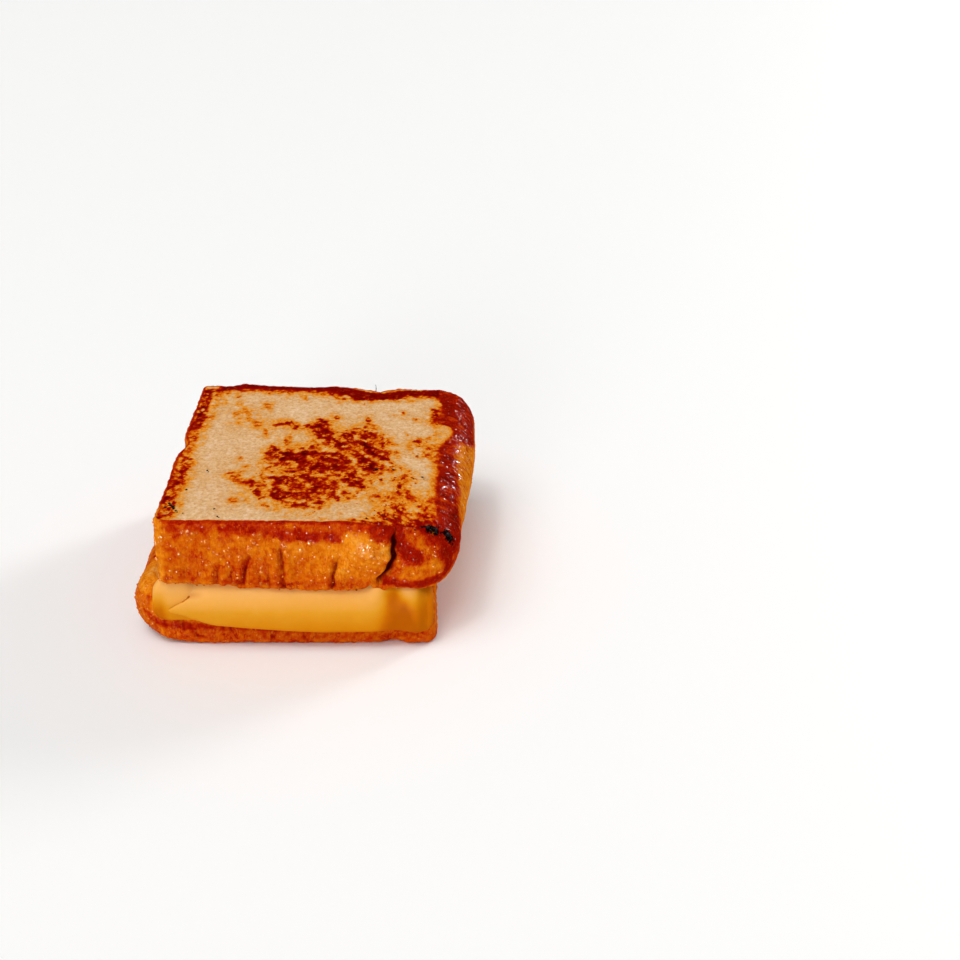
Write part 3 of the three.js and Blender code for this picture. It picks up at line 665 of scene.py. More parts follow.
def build_upper(material, quick):
    nu, nv, nw = (150, 150, 30) if quick else (220, 214, 44)
    rows = closer([0, 1], 0.06, 0.8)(np.linspace(0, 1, nw + 1))
    p, faces, part, share = slice_grid(Upper, nu, nv, nw, rows, 2)
    n = normals(p, faces)
    x, y, z = p.T
    under = (part == 2).astype(float)
    # The edge between crumb and crust wanders a little, most of all beside the domed side.
    wander = noise(p, 4.5, 301) + 0.5 * noise(p, 1.7, 302)
    edge_x = 45.6 + 4.2 * smooth(23, 19.5, y) * smooth(3, 16, y) - 1.2 * bump(y, 25.5, 3.0) - 1.6 * smooth(38, 46, y) - 0.8 * bump(y, -30, 9) + 0.7 * wander
    flat = blurred((part == 1).astype(float), faces, len(p), 1)
    flat = np.maximum(flat, smooth(2.2, 1.4, Upper.top(x, y) - z) * smooth(38, 40, x) * smooth(-49, -47, y) * (y < 46))
    crumb = flat * smooth(edge_x + 0.5, edge_x - 0.5, x)
    side = (1 - crumb) * (1 - under)
    on_front = smooth(0.5, 0.85, -n[:, 1]) * side
    on_back = smooth(0.5, 0.85, n[:, 1]) * side
    on_left = smooth(0.5, 0.85, -n[:, 0]) * side
    dome = smooth(43.5, 48.5, x + 0.05 * (y + 10)) * side

    # ---- relief, in mm along the normal
    lift = 0.34 * fbm(p, 13.0, 21, 2) * side + 0.24 * fbm(p, 16.0, 22, 2) * crumb
    pit, deep = crumb_pits(p, 31)
    lift -= deep * crumb
    lift += 0.07 * fbm(p, 0.9, 34, 2) * crumb
    skin, pebble = crust_relief(p, side, 43)
    near_crease = np.exp(-(((x - crease_line(z)) / 1.3) ** 2)) * smooth(-42, -47, y)
    lift += skin * (1 - 0.45 * dome) * (1 - 0.85 * near_crease)
    # painted_crease_shade gathers the painted shade that the material lays into the folds, wrinkles and crease.
    painted_crease_shade = np.zeros(len(p))
    # Upright folds in the front crust; the wider ones part soft swellings.
    bend = 0.6 * noise(p * [1, 0, 1], 3.0, 44)
    thick = 0.5 + 0.28 * noise(p, 3.0, 45)
    for wx, z0, z1, depth, lean in (
        (-37.2, 27, 33, 0.35, 0.05), (-26.4, 25, 34, 0.70, 0.12), (-21.6, 26, 33, 0.40, 0.14), (-17.4, 25, 37, 1.00, 0.16),
        (-12.6, 25, 33.5, 0.40, -0.02), (-9.4, 24, 34, 0.45, 0.04), (-4.6, 23, 40.5, 1.20, 0.05), (11.9, 23, 36.5, 1.20, 0.12), (18.2, 24, 28.5, 0.30, 0.1),
    ):
        at = x - wx - bend - lean * (z - 29) - 0.9 * np.maximum((z - 28) / 7, 0) ** 2 * (1 if lean > 0.1 else -0.5)
        there = smooth(z0 - 1, z0 + 1, z) * smooth(z1 + 1.5, z1 - 5, z) * on_front
        line = np.exp(-((at / thick) ** 2)) * there * clamp(0.75 + 0.7 * noise(p * [1, 1, 1], (9, 9, 2.6), 46))
        lift -= depth * 0.75 * line
        lift += depth * 0.55 * (bump(at, 2.0, 1.5) + 0.7 * bump(at, -2.2, 1.7)) * there
        painted_crease_shade = np.maximum(painted_crease_shade, line * (0.30 + 0.65 * depth))
        painted_crease_shade = np.maximum(painted_crease_shade, 0.36 * depth * np.exp(-((at + 0.6) / 1.2) ** 2) * there)
    # Butter stands in beads on it, and the swelling beside the crease is fuller near its top.
    wx_, wz_ = x + 0.2 * noise(p, 1.2, 47), z + 0.2 * noise(p, 1.2, 48)
    bead = np.zeros(len(p))
    for bx, bz, r in BEADS:
        bead = np.maximum(bead, np.exp(-((wx_ - bx) ** 2 + (wz_ - bz) ** 2) / (0.85 * r) ** 2) * (0.5 + 0.5 * min(1, r)))
    bead = bead * smooth(0.2, 0.6, -n[:, 1]) * side
    lift += 0.30 * bead
    lift += 1.1 * bump(x, 23.4, 4.8) * bump(z, 37.0, 4.0) * on_front
    for mask, seed, stretch in (
        (on_front * 0.4, 51, (2.4, 9, 5)), (on_back, 52, (2.0, 9, 8)), (on_left, 53, (9, 2.0, 8)),
    ):
        ridge = 1 - np.abs(noise(p, stretch, seed)) * 2.4
        strong = smooth(0.6, 1.0, ridge) * smooth(-0.1, 0.6, noise(p, 7.0, seed + 5)) * smooth(45, 30, z)
        lift -= 0.30 * strong * mask
        painted_crease_shade = np.maximum(painted_crease_shade, 0.40 * strong * mask)
    # Torn lower edge.
    ragged = smooth(0.16, 0.02, share) * side
    lift += ragged * (0.34 * noise(p, 2.6, 56) + 0.26 * noise(p, 1.3, 57))
    # The domed crust: wrinkles across it.
    wide, fine = roll_wrinkles(p, 61)
    creased = (0.25 + 0.75 * smooth(-0.15, 0.4, fbm(p, 10.0, 63, 2) + 0.5 * bump(y, -10, 9))) * (0.35 + 0.65 * smooth(36, 42, z))
    creased = creased * (0.4 + 0.6 * smooth(-46, -38, y))
    lift += dome * creased * (0.62 * (smooth(0.0, 0.7, wide) - 0.6) + 0.22 * (smooth(0, 0.6, fine) - 0.6))
    painted_crease_shade = np.maximum(painted_crease_shade, dome * creased * (0.34 * smooth(0.22, 0.0, wide) + 0.12 * smooth(0.2, 0.0, fine)))
    # Wrinkles that fan out from a dimple in it.
    out_of, along_y = (x - 48.0) + np.maximum(46.5 - z, 0), y + 8.0
    far = np.hypot(out_of, along_y)
    fan = np.sin(np.arctan2(along_y, out_of + 0.5) * 23 + 1.6 * noise(p, 4.0, 64) + 0.12 * far)
    fan_there = smooth(1.0, 3.0, far) * smooth(16, 9, far) * smooth(-1, 1.5, out_of) * dome
    lift += fan_there * 0.24 * fan
    painted_crease_shade = np.maximum(painted_crease_shade, 0.30 * fan_there * smooth(-0.3, -0.9, fan))
    lift -= 0.7 * bump(far, 0, 1.8) * dome
    # The mouth of the crease: a groove, with painted shade along it and along the back crease.
    off = x - crease_line(z)
    mouth = smooth(25, 28, z) * smooth(44.5, 40.0, z) * smooth(-42, -47, y)
    crease = (np.exp(-((np.abs(off - 0.2) / 0.64) ** 1.8)) + 0.26 * np.exp(-np.abs(off - 0.6) / 1.1) * (off > -0.3)) * mouth
    lift -= 0.5 * np.exp(-(((off - 0.2) / 0.5) ** 2)) * mouth
    e = x - BACK_CREASE_X - (z - 36) / 12
    crease_back = np.exp(-np.abs(e) / 0.8) * smooth(24, 28, z) * smooth(48.6, 45, z) * smooth(42, 46, y)
    painted_crease_shade = np.maximum(painted_crease_shade, np.maximum(crease * 1.3, crease_back))
    p = p + n * lift[:, None]
    p[:, 2] += ragged * (0.40 * noise(p, 2.2, 58) + 0.2)

    # ---- browning
    toast_top, marks, glow, freckle = top_toast(p)
    rough_a = fbm(p, 3.2, 74, 2)
    toast_top = toast_top + 0.30 * smooth(3.2, 0.0, edge_x - x) * clamp(0.75 + 0.5 * wander)
    toast_top = toast_top + 0.20 * smooth(-44.0, -45.6, x)
    # Towards the front right corner the crumb is browned right through to the crust.
    corner = smooth(24, 34, x) * smooth(-43, -50, y + 0.8 * wander)
    toast_top = toast_top + (0.30 + 0.16 * rough_a) * corner
    rough1, rough2 = fbm(p, 5.0, 71, 3), fbm(p, 1.8, 72, 2)
    fx, fz = x + 0.7 * rough1 + 0.5 * rough2, z + 0.6 * rough1 + 0.4 * rough2
    # light is the paler crust from these strokes, partly painted light.
    dark, light = strokes(fx, fz, FRONT_DARK, 0.7), strokes(fx, fz, FRONT_PALER_AND_PAINTED_LIGHT, 0.9)
    dark, light = dark * smooth(-40, -44, y), light * smooth(-34, -50, y)
    # Crust away from the front: a dark rim under the grilled face, then orange-brown.
    depth = UPPER_TOP - z + 0.9 * rough1 + 0.5 * rough2
    around = 0.20 * smooth(5.6, 1.8, depth) + 0.10 * smooth(3.0, 0.0, z - 24.5 + rough1)
    around += 0.16 * smooth(0.25, 0.9, fbm(p, 9.0, 73, 3)) * smooth(3, 8, depth)
    around -= 0.24 * smooth(3.4, 0.8, depth) * on_left
    crust = 0.528 + 0.07 * rough1 + 0.04 * rough2 + around * (1 - smooth(-40, -44, y)) + 0.29 * dark - 0.17 * light
    # Darker between the pebbles and paler on their tops: painted shade and painted light.
    crust += 0.09 * smooth(0.34, 0.80, pebble) - 0.02
    # The domed side is dark where it faces up and orange where it turns down.
    turn = 45.8 - 6.0 * smooth(8, 22, y) - 3.6 * smooth(-4, -26, y) - 7.5 * smooth(-26, -43, y) + 6.0 * smooth(47, 52.5, y) + 1.1 * rough1 + 0.8 * rough2
    turn = turn + 2.6 * fbm(p, 8.0, 78, 2) * smooth(22, 40, y)
    shade = smooth(turn - 2.0 - 2.6 * smooth(28, 44, y), turn + 0.6, z)
    roll = 0.40 + 0.40 * shade + 0.10 * rough2 + 0.14 * rough1 * shade + 0.10 * smooth(30, 24, z) * smooth(-44, -30, y)
    roll += 0.28 * smooth(-22, -38, y) * smooth(23, 30, z) * (1 - shade)
    # Furrows of the wrinkles darker and ridges paler: painted shade and painted light.
    roll += 0.07 * smooth(0.4, 0.0, wide) - 0.08 * smooth(0.6, 1.0, wide) * shade
    roll += 0.12 * smooth(0.05, 0.5, fbm(p, 4.5, 79, 3)) * shade
    front_lobe = smooth(-42, -48, y)
    band = smooth(edge_x - 0.4, edge_x + 0.8, x) * smooth(-49.0, -45.5, y) * (x > 40) * side
    crust = lerp(crust, roll + 0.25 * dark * front_lobe, np.maximum(dome, band))
    # Red-brown rim where the dome meets the crumb.
    crust += 0.06 * smooth(4.0, 1.0, np.abs(x - 47.5)) * smooth(46, 48, z) * dome
    toast = lerp(crust, toast_top, crumb)
    toast = np.where(under > 0, 0.20 + 0.08 * rough1, toast)
    # ---- burnt places
    x, y, z = p.T
    cx, cy = x + 0.6 * noise(p, 1.4, 81) + 0.3 * noise(p, 0.6, 83), y + 0.6 * noise(p, 1.4, 82) + 0.3 * noise(p, 0.6, 84)
    char = strokes(
        cx, cy,
        [(43.0, -46.3, 45.4, -45.8, 1.45, 0.68), (49.0, -44.8, 50.3, -44.8, 1.5, 0.70), (39.8, -46.6, 41.2, -46.8, 0.5, 0.4),
         (-42.6, -39.4, -40.4, -43.0, 0.4, 0.7), (-40.2, -43.4, -38.6, -45.6, 0.25, 0.6)],
        0.9,
    ) * smooth(34, 38, z)
    # The crust round them is deep red-brown.
    singed = strokes(cx, cy, [(42.6, -46.6, 50.6, -44.6, 2.6, 0.9)], 0.9) * smooth(38, 44, z)
    toast = toast + (np.maximum(toast, 0.86 + 0.06 * rough2) - toast) * singed
    mottle = 0.28 + 0.16 * smooth(0.1, 0.5, glow) + 0.34 * smooth(0.3, 0.8, marks)
    mottle = lerp(0.17, lerp(mottle, 0.12, smooth(46.6, 48.6, y + 4.6 * bump(x, 21, 7))), crumb)
    mottle = lerp(mottle, 0.22, dome)
    wet_front = 0.05 + 0.80 * bump(fx, 23, 5.5) * bump(fz, 38.5, 4) + 0.35 * bump(fx, 5, 3) * bump(fz, 40.5, 2) + 0.06 * dark
    wet_front = wet_front * smooth(48.6, 46.4, z)
    wet = lerp(lerp(0.15, wet_front, on_front), (0.20 + 0.50 * shade) * (0.16 + 0.84 * smooth(-32, -14, y)) * (1 - 0.6 * smooth(10, 22, y)) + 0.45 * bump(far, 6.5, 6.0), dome)
    wet = lerp(wet, 0.0, crumb)
    fields = dict(freckle=freckle * crumb, toast=toast, crumb=crumb, pit=pit * crumb, painted_crease_shade=painted_crease_shade, char=char, mottle=mottle, wet=clamp(wet), bead=bead)
    return make_object("bread_upper_looks", p, faces, fields, material), p, toast


# ------------------------------------------------------------------ the lower slice
def build_lower(material, quick):
    nu, nv, nw = (110, 110, 22) if quick else (186, 180, 40)
    rows = closer([0, 1], 0.06, 0.5)(np.linspace(0, 1, nw + 1))
    p, faces, part, share = slice_grid(Lower, nu, nv, nw, rows)
    n = normals(p, faces)
    x, y, z = p.T
    crumb = blurred((part > 0).astype(float), faces, len(p), 1)
    base = blurred((part == 2).astype(float), faces, len(p), 1)
    side = 1 - crumb
    on_front = smooth(0.5, 0.85, -n[:, 1]) * side
    on_back = smooth(0.5, 0.85, n[:, 1]) * side
    on_right = smooth(0.5, 0.85, n[:, 0]) * side
    dome = smooth(-46, -52, x) * side

    lift = 0.30 * fbm(p, 12.0, 121, 2) * side
    pit, deep = crumb_pits(p, 131)
    lift -= deep * crumb
    skin, pebble = crust_relief(p, side, 143)
    lift += skin * (1 - 0.45 * dome)
    # painted_crease_shade gathers the painted shade that the material lays into the folds, wrinkles and back crease.
    painted_crease_shade = np.zeros(len(p))
    for mask, seed, stretch in (
        (on_front, 151, (2.0, 9, 7)), (on_back, 152, (2.0, 9, 8)), (on_right, 153, (9, 2.0, 8)),
    ):
        ridge = 1 - np.abs(noise(p, stretch, seed)) * 2.4
        strong = smooth(0.6, 1.0, ridge) * smooth(-0.1, 0.6, noise(p, 7.0, seed + 5))
        lift -= 0.30 * strong * mask
        painted_crease_shade = np.maximum(painted_crease_shade, 0.40 * strong * mask)
    wide, fine = roll_wrinkles(p, 161)
    creased = (0.25 + 0.75 * smooth(-0.15, 0.4, fbm(p, 10.0, 163, 2))) * smooth(-40, -28, y)
    lift += dome * creased * (0.50 * (smooth(0.0, 0.7, wide) - 0.6) + 0.18 * (smooth(0, 0.6, fine) - 0.6))
    painted_crease_shade = np.maximum(painted_crease_shade, dome * creased * (0.28 * smooth(0.22, 0.0, wide) + 0.10 * smooth(0.2, 0.0, fine)))
    e = x + 33 - (z - 10) / 9
    crease = np.exp(-np.abs(e) / 0.8) * smooth(1.5, 4, z) * smooth(20, 17, z) * smooth(40, 45, y)
    painted_crease_shade = np.maximum(painted_crease_shade, crease)
    # The bottom stays above the surface that the sandwich stands on.
    p = p + n * lift[:, None]
    p[:, 2] = np.maximum(p[:, 2], 0.0)

    x, y, z = p.T
    rough1, rough2 = fbm(p, 5.0, 171, 3), fbm(p, 1.8, 172, 2)
    low = z + 0.9 * rough1 + 0.5 * rough2
    # Darker between the pebbles and paler on their tops: painted shade and painted light.
    crust = 0.47 + 0.035 * rough1 + 0.06 * rough2 + 0.10 * smooth(0.34, 0.80, pebble)
    # Darker low on the front under the cheese: partly browner crust, partly painted shade.
    crust += 0.10 * smooth(10.5, 6.5, low) * on_front
    crust += 0.18 * smooth(5.5, 2.0, low) * (1 - on_front) + 0.08 * smooth(2.5, 0.5, LOWER_TOP - z + rough1)
    crust += 0.14 * smooth(0.25, 0.9, fbm(p, 9.0, 173, 3)) * (1 - on_front)
    # A dark band runs round the corner of the cheese, partly darker crust and partly painted shadow under the cheese;
    # the rim outside it stays orange.
    ring = strokes(
        x + 0.5 * rough1, z + 0.5 * rough2,
        [(-50.6, 18.6, -51.4, 14, 0.7, 0.45), (-52.6, 12.4, -50.4, 10.6, 0.9, 0.9), (-50.8, 10.8, -46.8, 8.8, 1.1, 0.95), (-46.8, 8.8, -38, 7.8, 1.1, 0.85), (-38, 7.8, 10, 6.4, 1.2, 0.6)], 0.7,
    )
    crust += 0.18 * ring * smooth(-40, -46, y)
    rim = strokes(
        x + 0.4 * rough1, z + 0.4 * rough2,
        [(-53.6, 20, -55.4, 14, 2.2, 1.0), (-55.4, 14, -55.2, 9.4, 1.8, 1.0), (-55.0, 9.2, -52.2, 7.0, 1.5, 1.0), (-52.2, 7.0, -47.6, 5.4, 1.2, 0.9), (-47.6, 5.4, -42, 4.6, 1.1, 0.5)], 0.7,
    ) * smooth(-26, -42, y)
    crust = lerp(crust, 0.53 + 0.06 * rough1 + 0.06 * rough2, rim * (1 - 0.8 * ring))
    # Darker low down on the dome, and darker in the furrows of its wrinkles as painted shade.
    crust += dome * (1 - rim) * (0.12 * smooth(10, 3, low) + 0.04 * smooth(0.4, 0.0, wide))
    # The grilled underside.
    patch = smooth(-0.15, 0.55, fbm(p, 22.0, 181, 3) + 0.25)
    spots = smooth(0.0, 0.6, fbm(p, 5.0, 182, 3))
    under = 0.12 + 0.32 * patch + 0.28 * spots * patch + 0.14 * spots
    edge = smooth(6, 1.5, np.minimum.reduce([x + 54, 45 - x, y + 50, 51 - y]) + rough1)
    under += 0.28 * edge
    above = 0.13 + 0.06 * rough1 + 0.16 * smooth(2.4, 0.4, 45 - x) + 0.16 * smooth(-49.0, -51.0, x)
    toast = lerp(crust, lerp(above, under, base), crumb)
    # The front left shoulder of its top: pale crumb that the griddle missed, golden round it.
    shoulder = strokes(x + 0.5 * rough1, y + 0.5 * rough2, [(-50.6, -36.4, -51.6, -40.4, 1.1, 0.7)], 0.7) * smooth(19.0, 20.6, z)
    around_it = strokes(x, y, [(-51, -34, -52, -44, 3.6, 1.0)], 0.7) * smooth(17.5, 19.6, z)
    toast = lerp(lerp(toast, 0.37 + 0.06 * rough2, 0.9 * around_it), 0.27 + 0.06 * rough1, shoulder)
    crumb = np.maximum(crumb, 0.7 * shoulder)
    mottle = lerp(lerp(0.20, 0.20, dome), lerp(0.3, 0.85, base), crumb)
    wet = lerp(lerp(0.15, 0.06, rim) + 0.06 * dome, 0.03, crumb)
    fields = dict(freckle=0 * x, bead=0 * x, toast=toast, crumb=crumb, pit=pit * crumb, painted_crease_shade=painted_crease_shade, char=np.zeros(len(p)), mottle=mottle, wet=clamp(wet))
    return make_object("bread_lower_looks", p, faces, fields, material), p, toast


# ------------------------------------------------------------------ the cheese
def cheese_point(x, run, off):
    """Height, depth and normal of a sheet that lies on the bed and bends down over its front edge."""
    r = BEND + off
    arc = r * math.pi / 2
    cz = bed_top(x, BEND_Y) - BEND
    fold = 0.75 * bump(x, FOLD_X + 1.0, 4.4) - 0.12 * bump(x, FOLD_X + 5.6, 3.6) + 0.4 * smooth(38, 44, x)
    a = clamp(run / arc) * math.pi / 2
    y = np.where(run <= 0, BEND_Y - r, np.where(run < arc, BEND_Y - r * np.cos(a), BEND_Y + run - arc))
    z = np.where(run <= 0, cz + run, cz + r * np.sin(a))
    z = np.where(run >= arc, bed_top(x, y) + off, z)
    ny = np.where(run >= arc, 0.0, -np.cos(a))
    nz = np.where(run <= 0, 0.0, np.where(run >= arc, 1.0, np.sin(a)))
    return y + fold * smooth(-40, -48, y), z, ny, nz


LOWER_SHEET = dict(
    off=0.0, corner=4.4,
    left=lambda run: -45 - 3.9 * smooth(15, 6.5, run),
    right=lambda run: 43.5 + 0.8 * smooth(14, 6, run),
    low=lambda x: -4.8 - 1.2 * smooth(-38, 0, x) + 0.5 * np.sin(x / 7.0) * smooth(-30, -10, x),
)
UPPER_SHEET = dict(
    off=SHEET, corner=1.3,
    left=lambda run: -37 - 6.6 * smooth(5, -0.6, run),
    right=lambda run: 42.5 + 0.5 * smooth(14, 6, run),
    low=lambda x: -0.8 - 4.6 * smooth(-45, -27, x) - 1.1 * smooth(-30, 4, x) + 0.3 * np.sin(x / 8.0 + 1) + 0.8 * smooth(28, 42, x),
)


def build_cheese(name, sheet, material, nx, ny):
    off, corner, upper = sheet["off"], sheet["corner"], sheet["off"] > 0
    across = closer([0.05, 0, 1, 0.79], 0.035, 2.0)(np.linspace(0, 1, nx + 1))
    down = closer([0, 0.06, 0.16], 0.05, 3.5)(np.linspace(0, 1, ny + 1))
    start = CHEESE_BACK - BEND_Y + (BEND + off) * math.pi / 2
    u, v = np.meshgrid(across, down, indexing="ij")
    x = lerp(sheet["left"](0.0 * u), sheet["right"](0.0 * u), u)
    for _ in range(8):
        run = lerp(sheet["low"](x), start, v)
        x = lerp(sheet["left"](run), sheet["right"](run), u)
    dl, dr, db, dt = (x - sheet["left"](run), sheet["right"](run) - x, run - sheet["low"](x), start - run)
    left_side, end = np.minimum(dl, 99), np.minimum(db, dt)
    near = np.minimum(np.minimum(dl, dr), end)
    for side, sign in ((dl, 1), (dr, -1)):
        a, b = 1 - side / corner, 1 - db / corner
        m = (a > 0) & (b > 0)
        a, b = np.where(m, a, 0), np.where(m, b, 0)
        a2, b2 = a * np.sqrt(1 - b * b / 2), b * np.sqrt(1 - a * a / 2)
        x = x + sign * corner * (a - a2)
        run = run + corner * (b - b2)
        near = np.where(m, corner * (1 - np.hypot(a2, b2)), near)
    edge = np.sqrt(1 - (1 - clamp(0.02 + near / (SHEET * 0.7))) ** 2)
    if upper:
        # Above the nick the left edge has melted into the sheet below.
        fuse = smooth(4.0, 6.4, run)
        ramp = smooth(0, 8.0, dl)
        # So has its right edge, all the way down.
        right_fuse, right_ramp = smooth(5.5, 1.5, dr), smooth(0, 5.0, dr)
        edge = edge * lerp(1.0, ramp, fuse) * lerp(1.0, right_ramp, right_fuse)
        sink = 0.56 * SHEET * ((1 - ramp) * fuse + (1 - right_ramp) * right_fuse)
    else:
        fuse, sink = 0 * run, 0 * run
    half = SHEET / 2 * edge
    y, z, nyy, nzz = cheese_point(x, run, off + SHEET / 2)
    grid = np.stack([x, y, z], -1)
    normal = np.stack([0 * x, nyy, nzz], -1)
    flat = grid.reshape(-1, 3)
    shape = x.shape
    soft = 0.16 * fbm(flat, 12.0, 201, 2).reshape(shape) + 0.05 * noise(flat, 4.0, 202).reshape(shape)
    swell = 0.35 * smooth(6, 0, run) * bump(x, 5, 25)  # the sheet hangs a little fuller in the middle
    shown = smooth(18, 8, run)
    move = (soft + swell) * shown - sink
    if not upper:
        # Left of the sheet above, this one is as full as both together.
        move = move + 0.92 * SHEET * smooth(-34.5, -38.5, x) * smooth(4.6, 8.0, run) * smooth(0.0, 2.4, dl)
    grid = grid + normal * move[..., None]
    # It has risen into the mouth of the crease above it.
    rise = 1.7 * bump(x, 26.3, 2.6) * smooth(4.0, 8.5, run) * smooth(18, 12, run)
    grid[..., 2] += rise
    grid[..., 1] -= 0.45 * rise
    nick = strokes(x + 0.15 * np.sin(z * 3), z, [(-40.4, 18.5, -38.4, 19.2, 0.22, 1), (-38.4, 19.2, -36.6, 20.3, 0.30, 1)], 0.8) if upper else 0 * x
    grid = grid - normal * (0.75 * nick)[..., None]
    top = grid + normal * half[..., None]
    bottom = grid - normal * half[..., None]
    n0 = (nx + 1) * (ny + 1)
    ids = np.arange(n0).reshape(nx + 1, ny + 1)
    p = np.concatenate([top.reshape(-1, 3), bottom.reshape(-1, 3)])
    quad = lambda g: np.stack([g[:-1, :-1], g[1:, :-1], g[1:, 1:], g[:-1, 1:]], -1).reshape(-1, 4)
    border = np.concatenate([ids[:, 0], ids[-1, 1:], ids[-2::-1, -1], ids[0, -2:0:-1]])
    nxt = np.roll(border, -1)
    wall = np.stack([border + n0, nxt + n0, nxt, border], 1)
    faces = np.concatenate([quad(ids), quad(ids + n0)[:, ::-1], wall])
    # Painted light and shade: 0 pale where the light falls, 1 deep orange where painted shade lies, low down, in the
    # fold and at the right.
    cheese_light_and_shade = np.interp(z, [7, 8.6, 10.5, 15.5, 18.5, 21, 24, 26], [0.82, 0.74, 0.68, 0.54, 0.34, 0.13, 0.0, 0.0])
    # The fold and the slope into it get painted shade, a deep orange band.
    band = bump(x + 0.25 * np.sin(z / 2.2) + 0.12 * (z - 16), 31.6, 3.6) * smooth(25.5, 19.5, z)
    cheese_light_and_shade = lerp(cheese_light_and_shade, 1.0, 0.88 * band)
    cheese_light_and_shade = cheese_light_and_shade + 0.16 * bump(x, 28.6, 2.6) * smooth(19, 10, z)
    # The right end gets painted shadow, deeper orange.
    right = smooth(36.6, 41.5, x)
    cheese_light_and_shade = lerp(cheese_light_and_shade, np.interp(z, [7, 12, 17, 22], [0.94, 0.90, 0.86, 0.74]), 0.95 * right * smooth(25.5, 22, z))
    # Right of the fold: more painted shade low down, and a painted highlight near the top.
    cheese_light_and_shade = cheese_light_and_shade + 0.26 * smooth(32.5, 35.5, x) * smooth(22.0, 15, z) * (1 - right) + 0.14 * bump(x, 34.8, 2.6) * smooth(25, 20, z) - 0.30 * bump(x, 35.2, 2.2) * bump(z, 20.8, 1.8)
    # Painted shade on the left end's lower part and in the nick's slit.
    cheese_light_and_shade = cheese_light_and_shade + 0.26 * smooth(-43, -46.5, x) * smooth(24, 17, z) + 0.05 * (not upper) * (x < -36) + 0.5 * nick
    cheese_light_and_shade = np.where(run > 16, 0.35, cheese_light_and_shade)
    fields = dict(cheese_light_and_shade=clamp(np.concatenate([cheese_light_and_shade.ravel()] * 2)), nick=np.concatenate([nick.ravel()] * 2))
    return make_object(name, p, faces, fields, material)


# ------------------------------------------------------------------ burnt bits and crumbs
def ball():
    """Points and triangles of a round lump of 162 points."""
    b = bmesh.new()
    bmesh.ops.create_icosphere(b, subdivisions=3, radius=1.0)
    v = np.array([w.co for w in b.verts])
    f = np.array([[w.index for w in q.verts] for q in b.faces])
    b.free()
    return v, f


def on_top(surface, x, y):
    """The point of the upper slice's upper side that is nearest to (x, y) in plan."""
    high = surface[surface[:, 2] > 38]
    return high[np.argmin(np.hypot(high[:, 0] - x, high[:, 1] - y) - 0.2 * high[:, 2])]


# Heaps of burnt bits on the front right corner: the middle, half the length and width, turn, how many.
HEAPS = [(43.2, -46.0, 1.3, 1.2, 0.2, 17), (45.4, -45.8, 0.9, 1.1, 0.1, 11), (48.8, -44.7, 0.8, 1.1, 0.0, 10), (50.1, -45.0, 0.8, 1.2, 0.0, 14)]
# x, y, radius, height against radius, how burnt
BURNT = [
    (41.0, -46.4, 0.22, 0.5, 0.85), (40.2, -46.8, 0.20, 0.5, 0.8), (46.4, -43.4, 0.22, 0.5, 0.8), (38.7, -49.0, 0.38, 0.5, 0.8), (38.0, -47.2, 0.24, 0.5, 0.7), (44.4, -48.0, 0.20, 0.5, 0.8),
    (36.6, -45.9, 0.2, 0.5, 0.75), (35.2, -48.2, 0.22, 0.5, 0.7), (33.4, -46.4, 0.22, 0.5, 0.7), (41.0, -43.6, 0.22, 0.5, 0.75),
    (-42.4, -39.6, 0.5, 0.6, 1.0), (-41.6, -40.7, 0.6, 0.6, 1.0), (-41.0, -41.8, 0.5, 0.6, 1.0), (-40.3, -42.9, 0.45, 0.5, 1.0), (-39.5, -44.2, 0.35, 0.5, 1.0), (-38.7, -45.4, 0.3, 0.5, 0.9), (-43.3, -42.4, 0.4, 0.5, 0.9),
    (-33.5, -17.0, 0.42, 0.5, 1.0), (-33.2, -17.9, 0.30, 0.5, 1.0), (-38.5, -30.2, 0.32, 0.5, 1.0), (-27.0, -43.4, 0.34, 0.5, 0.95), (-25.4, -48.4, 0.42, 0.5, 0.9), (-24.6, -48.6, 0.38, 0.5, 0.85),
    (23.3, -48.1, 0.36, 0.5, 0.9), (40.3, -19.0, 0.42, 0.5, 1.0), (40.7, -19.9, 0.30, 0.5, 1.0), (37.2, -20.4, 0.36, 0.5, 0.9), (30.1, -15.0, 0.36, 0.5, 0.9), (38.1, -3.6, 0.34, 0.5, 0.8), (26.3, -22.6, 0.3, 0.5, 0.8),
    (24.2, -14.9, 0.5, 0.5, 0.9), (23.5, -15.6, 0.4, 0.5, 0.9), (32.9, -27.4, 0.34, 0.5, 0.8), (-36.6, -46.3, 0.25, 0.5, 0.8), (29.4, -46.9, 0.34, 0.5, 0.75), (27.9, -45.0, 0.34, 0.5, 0.7),
]


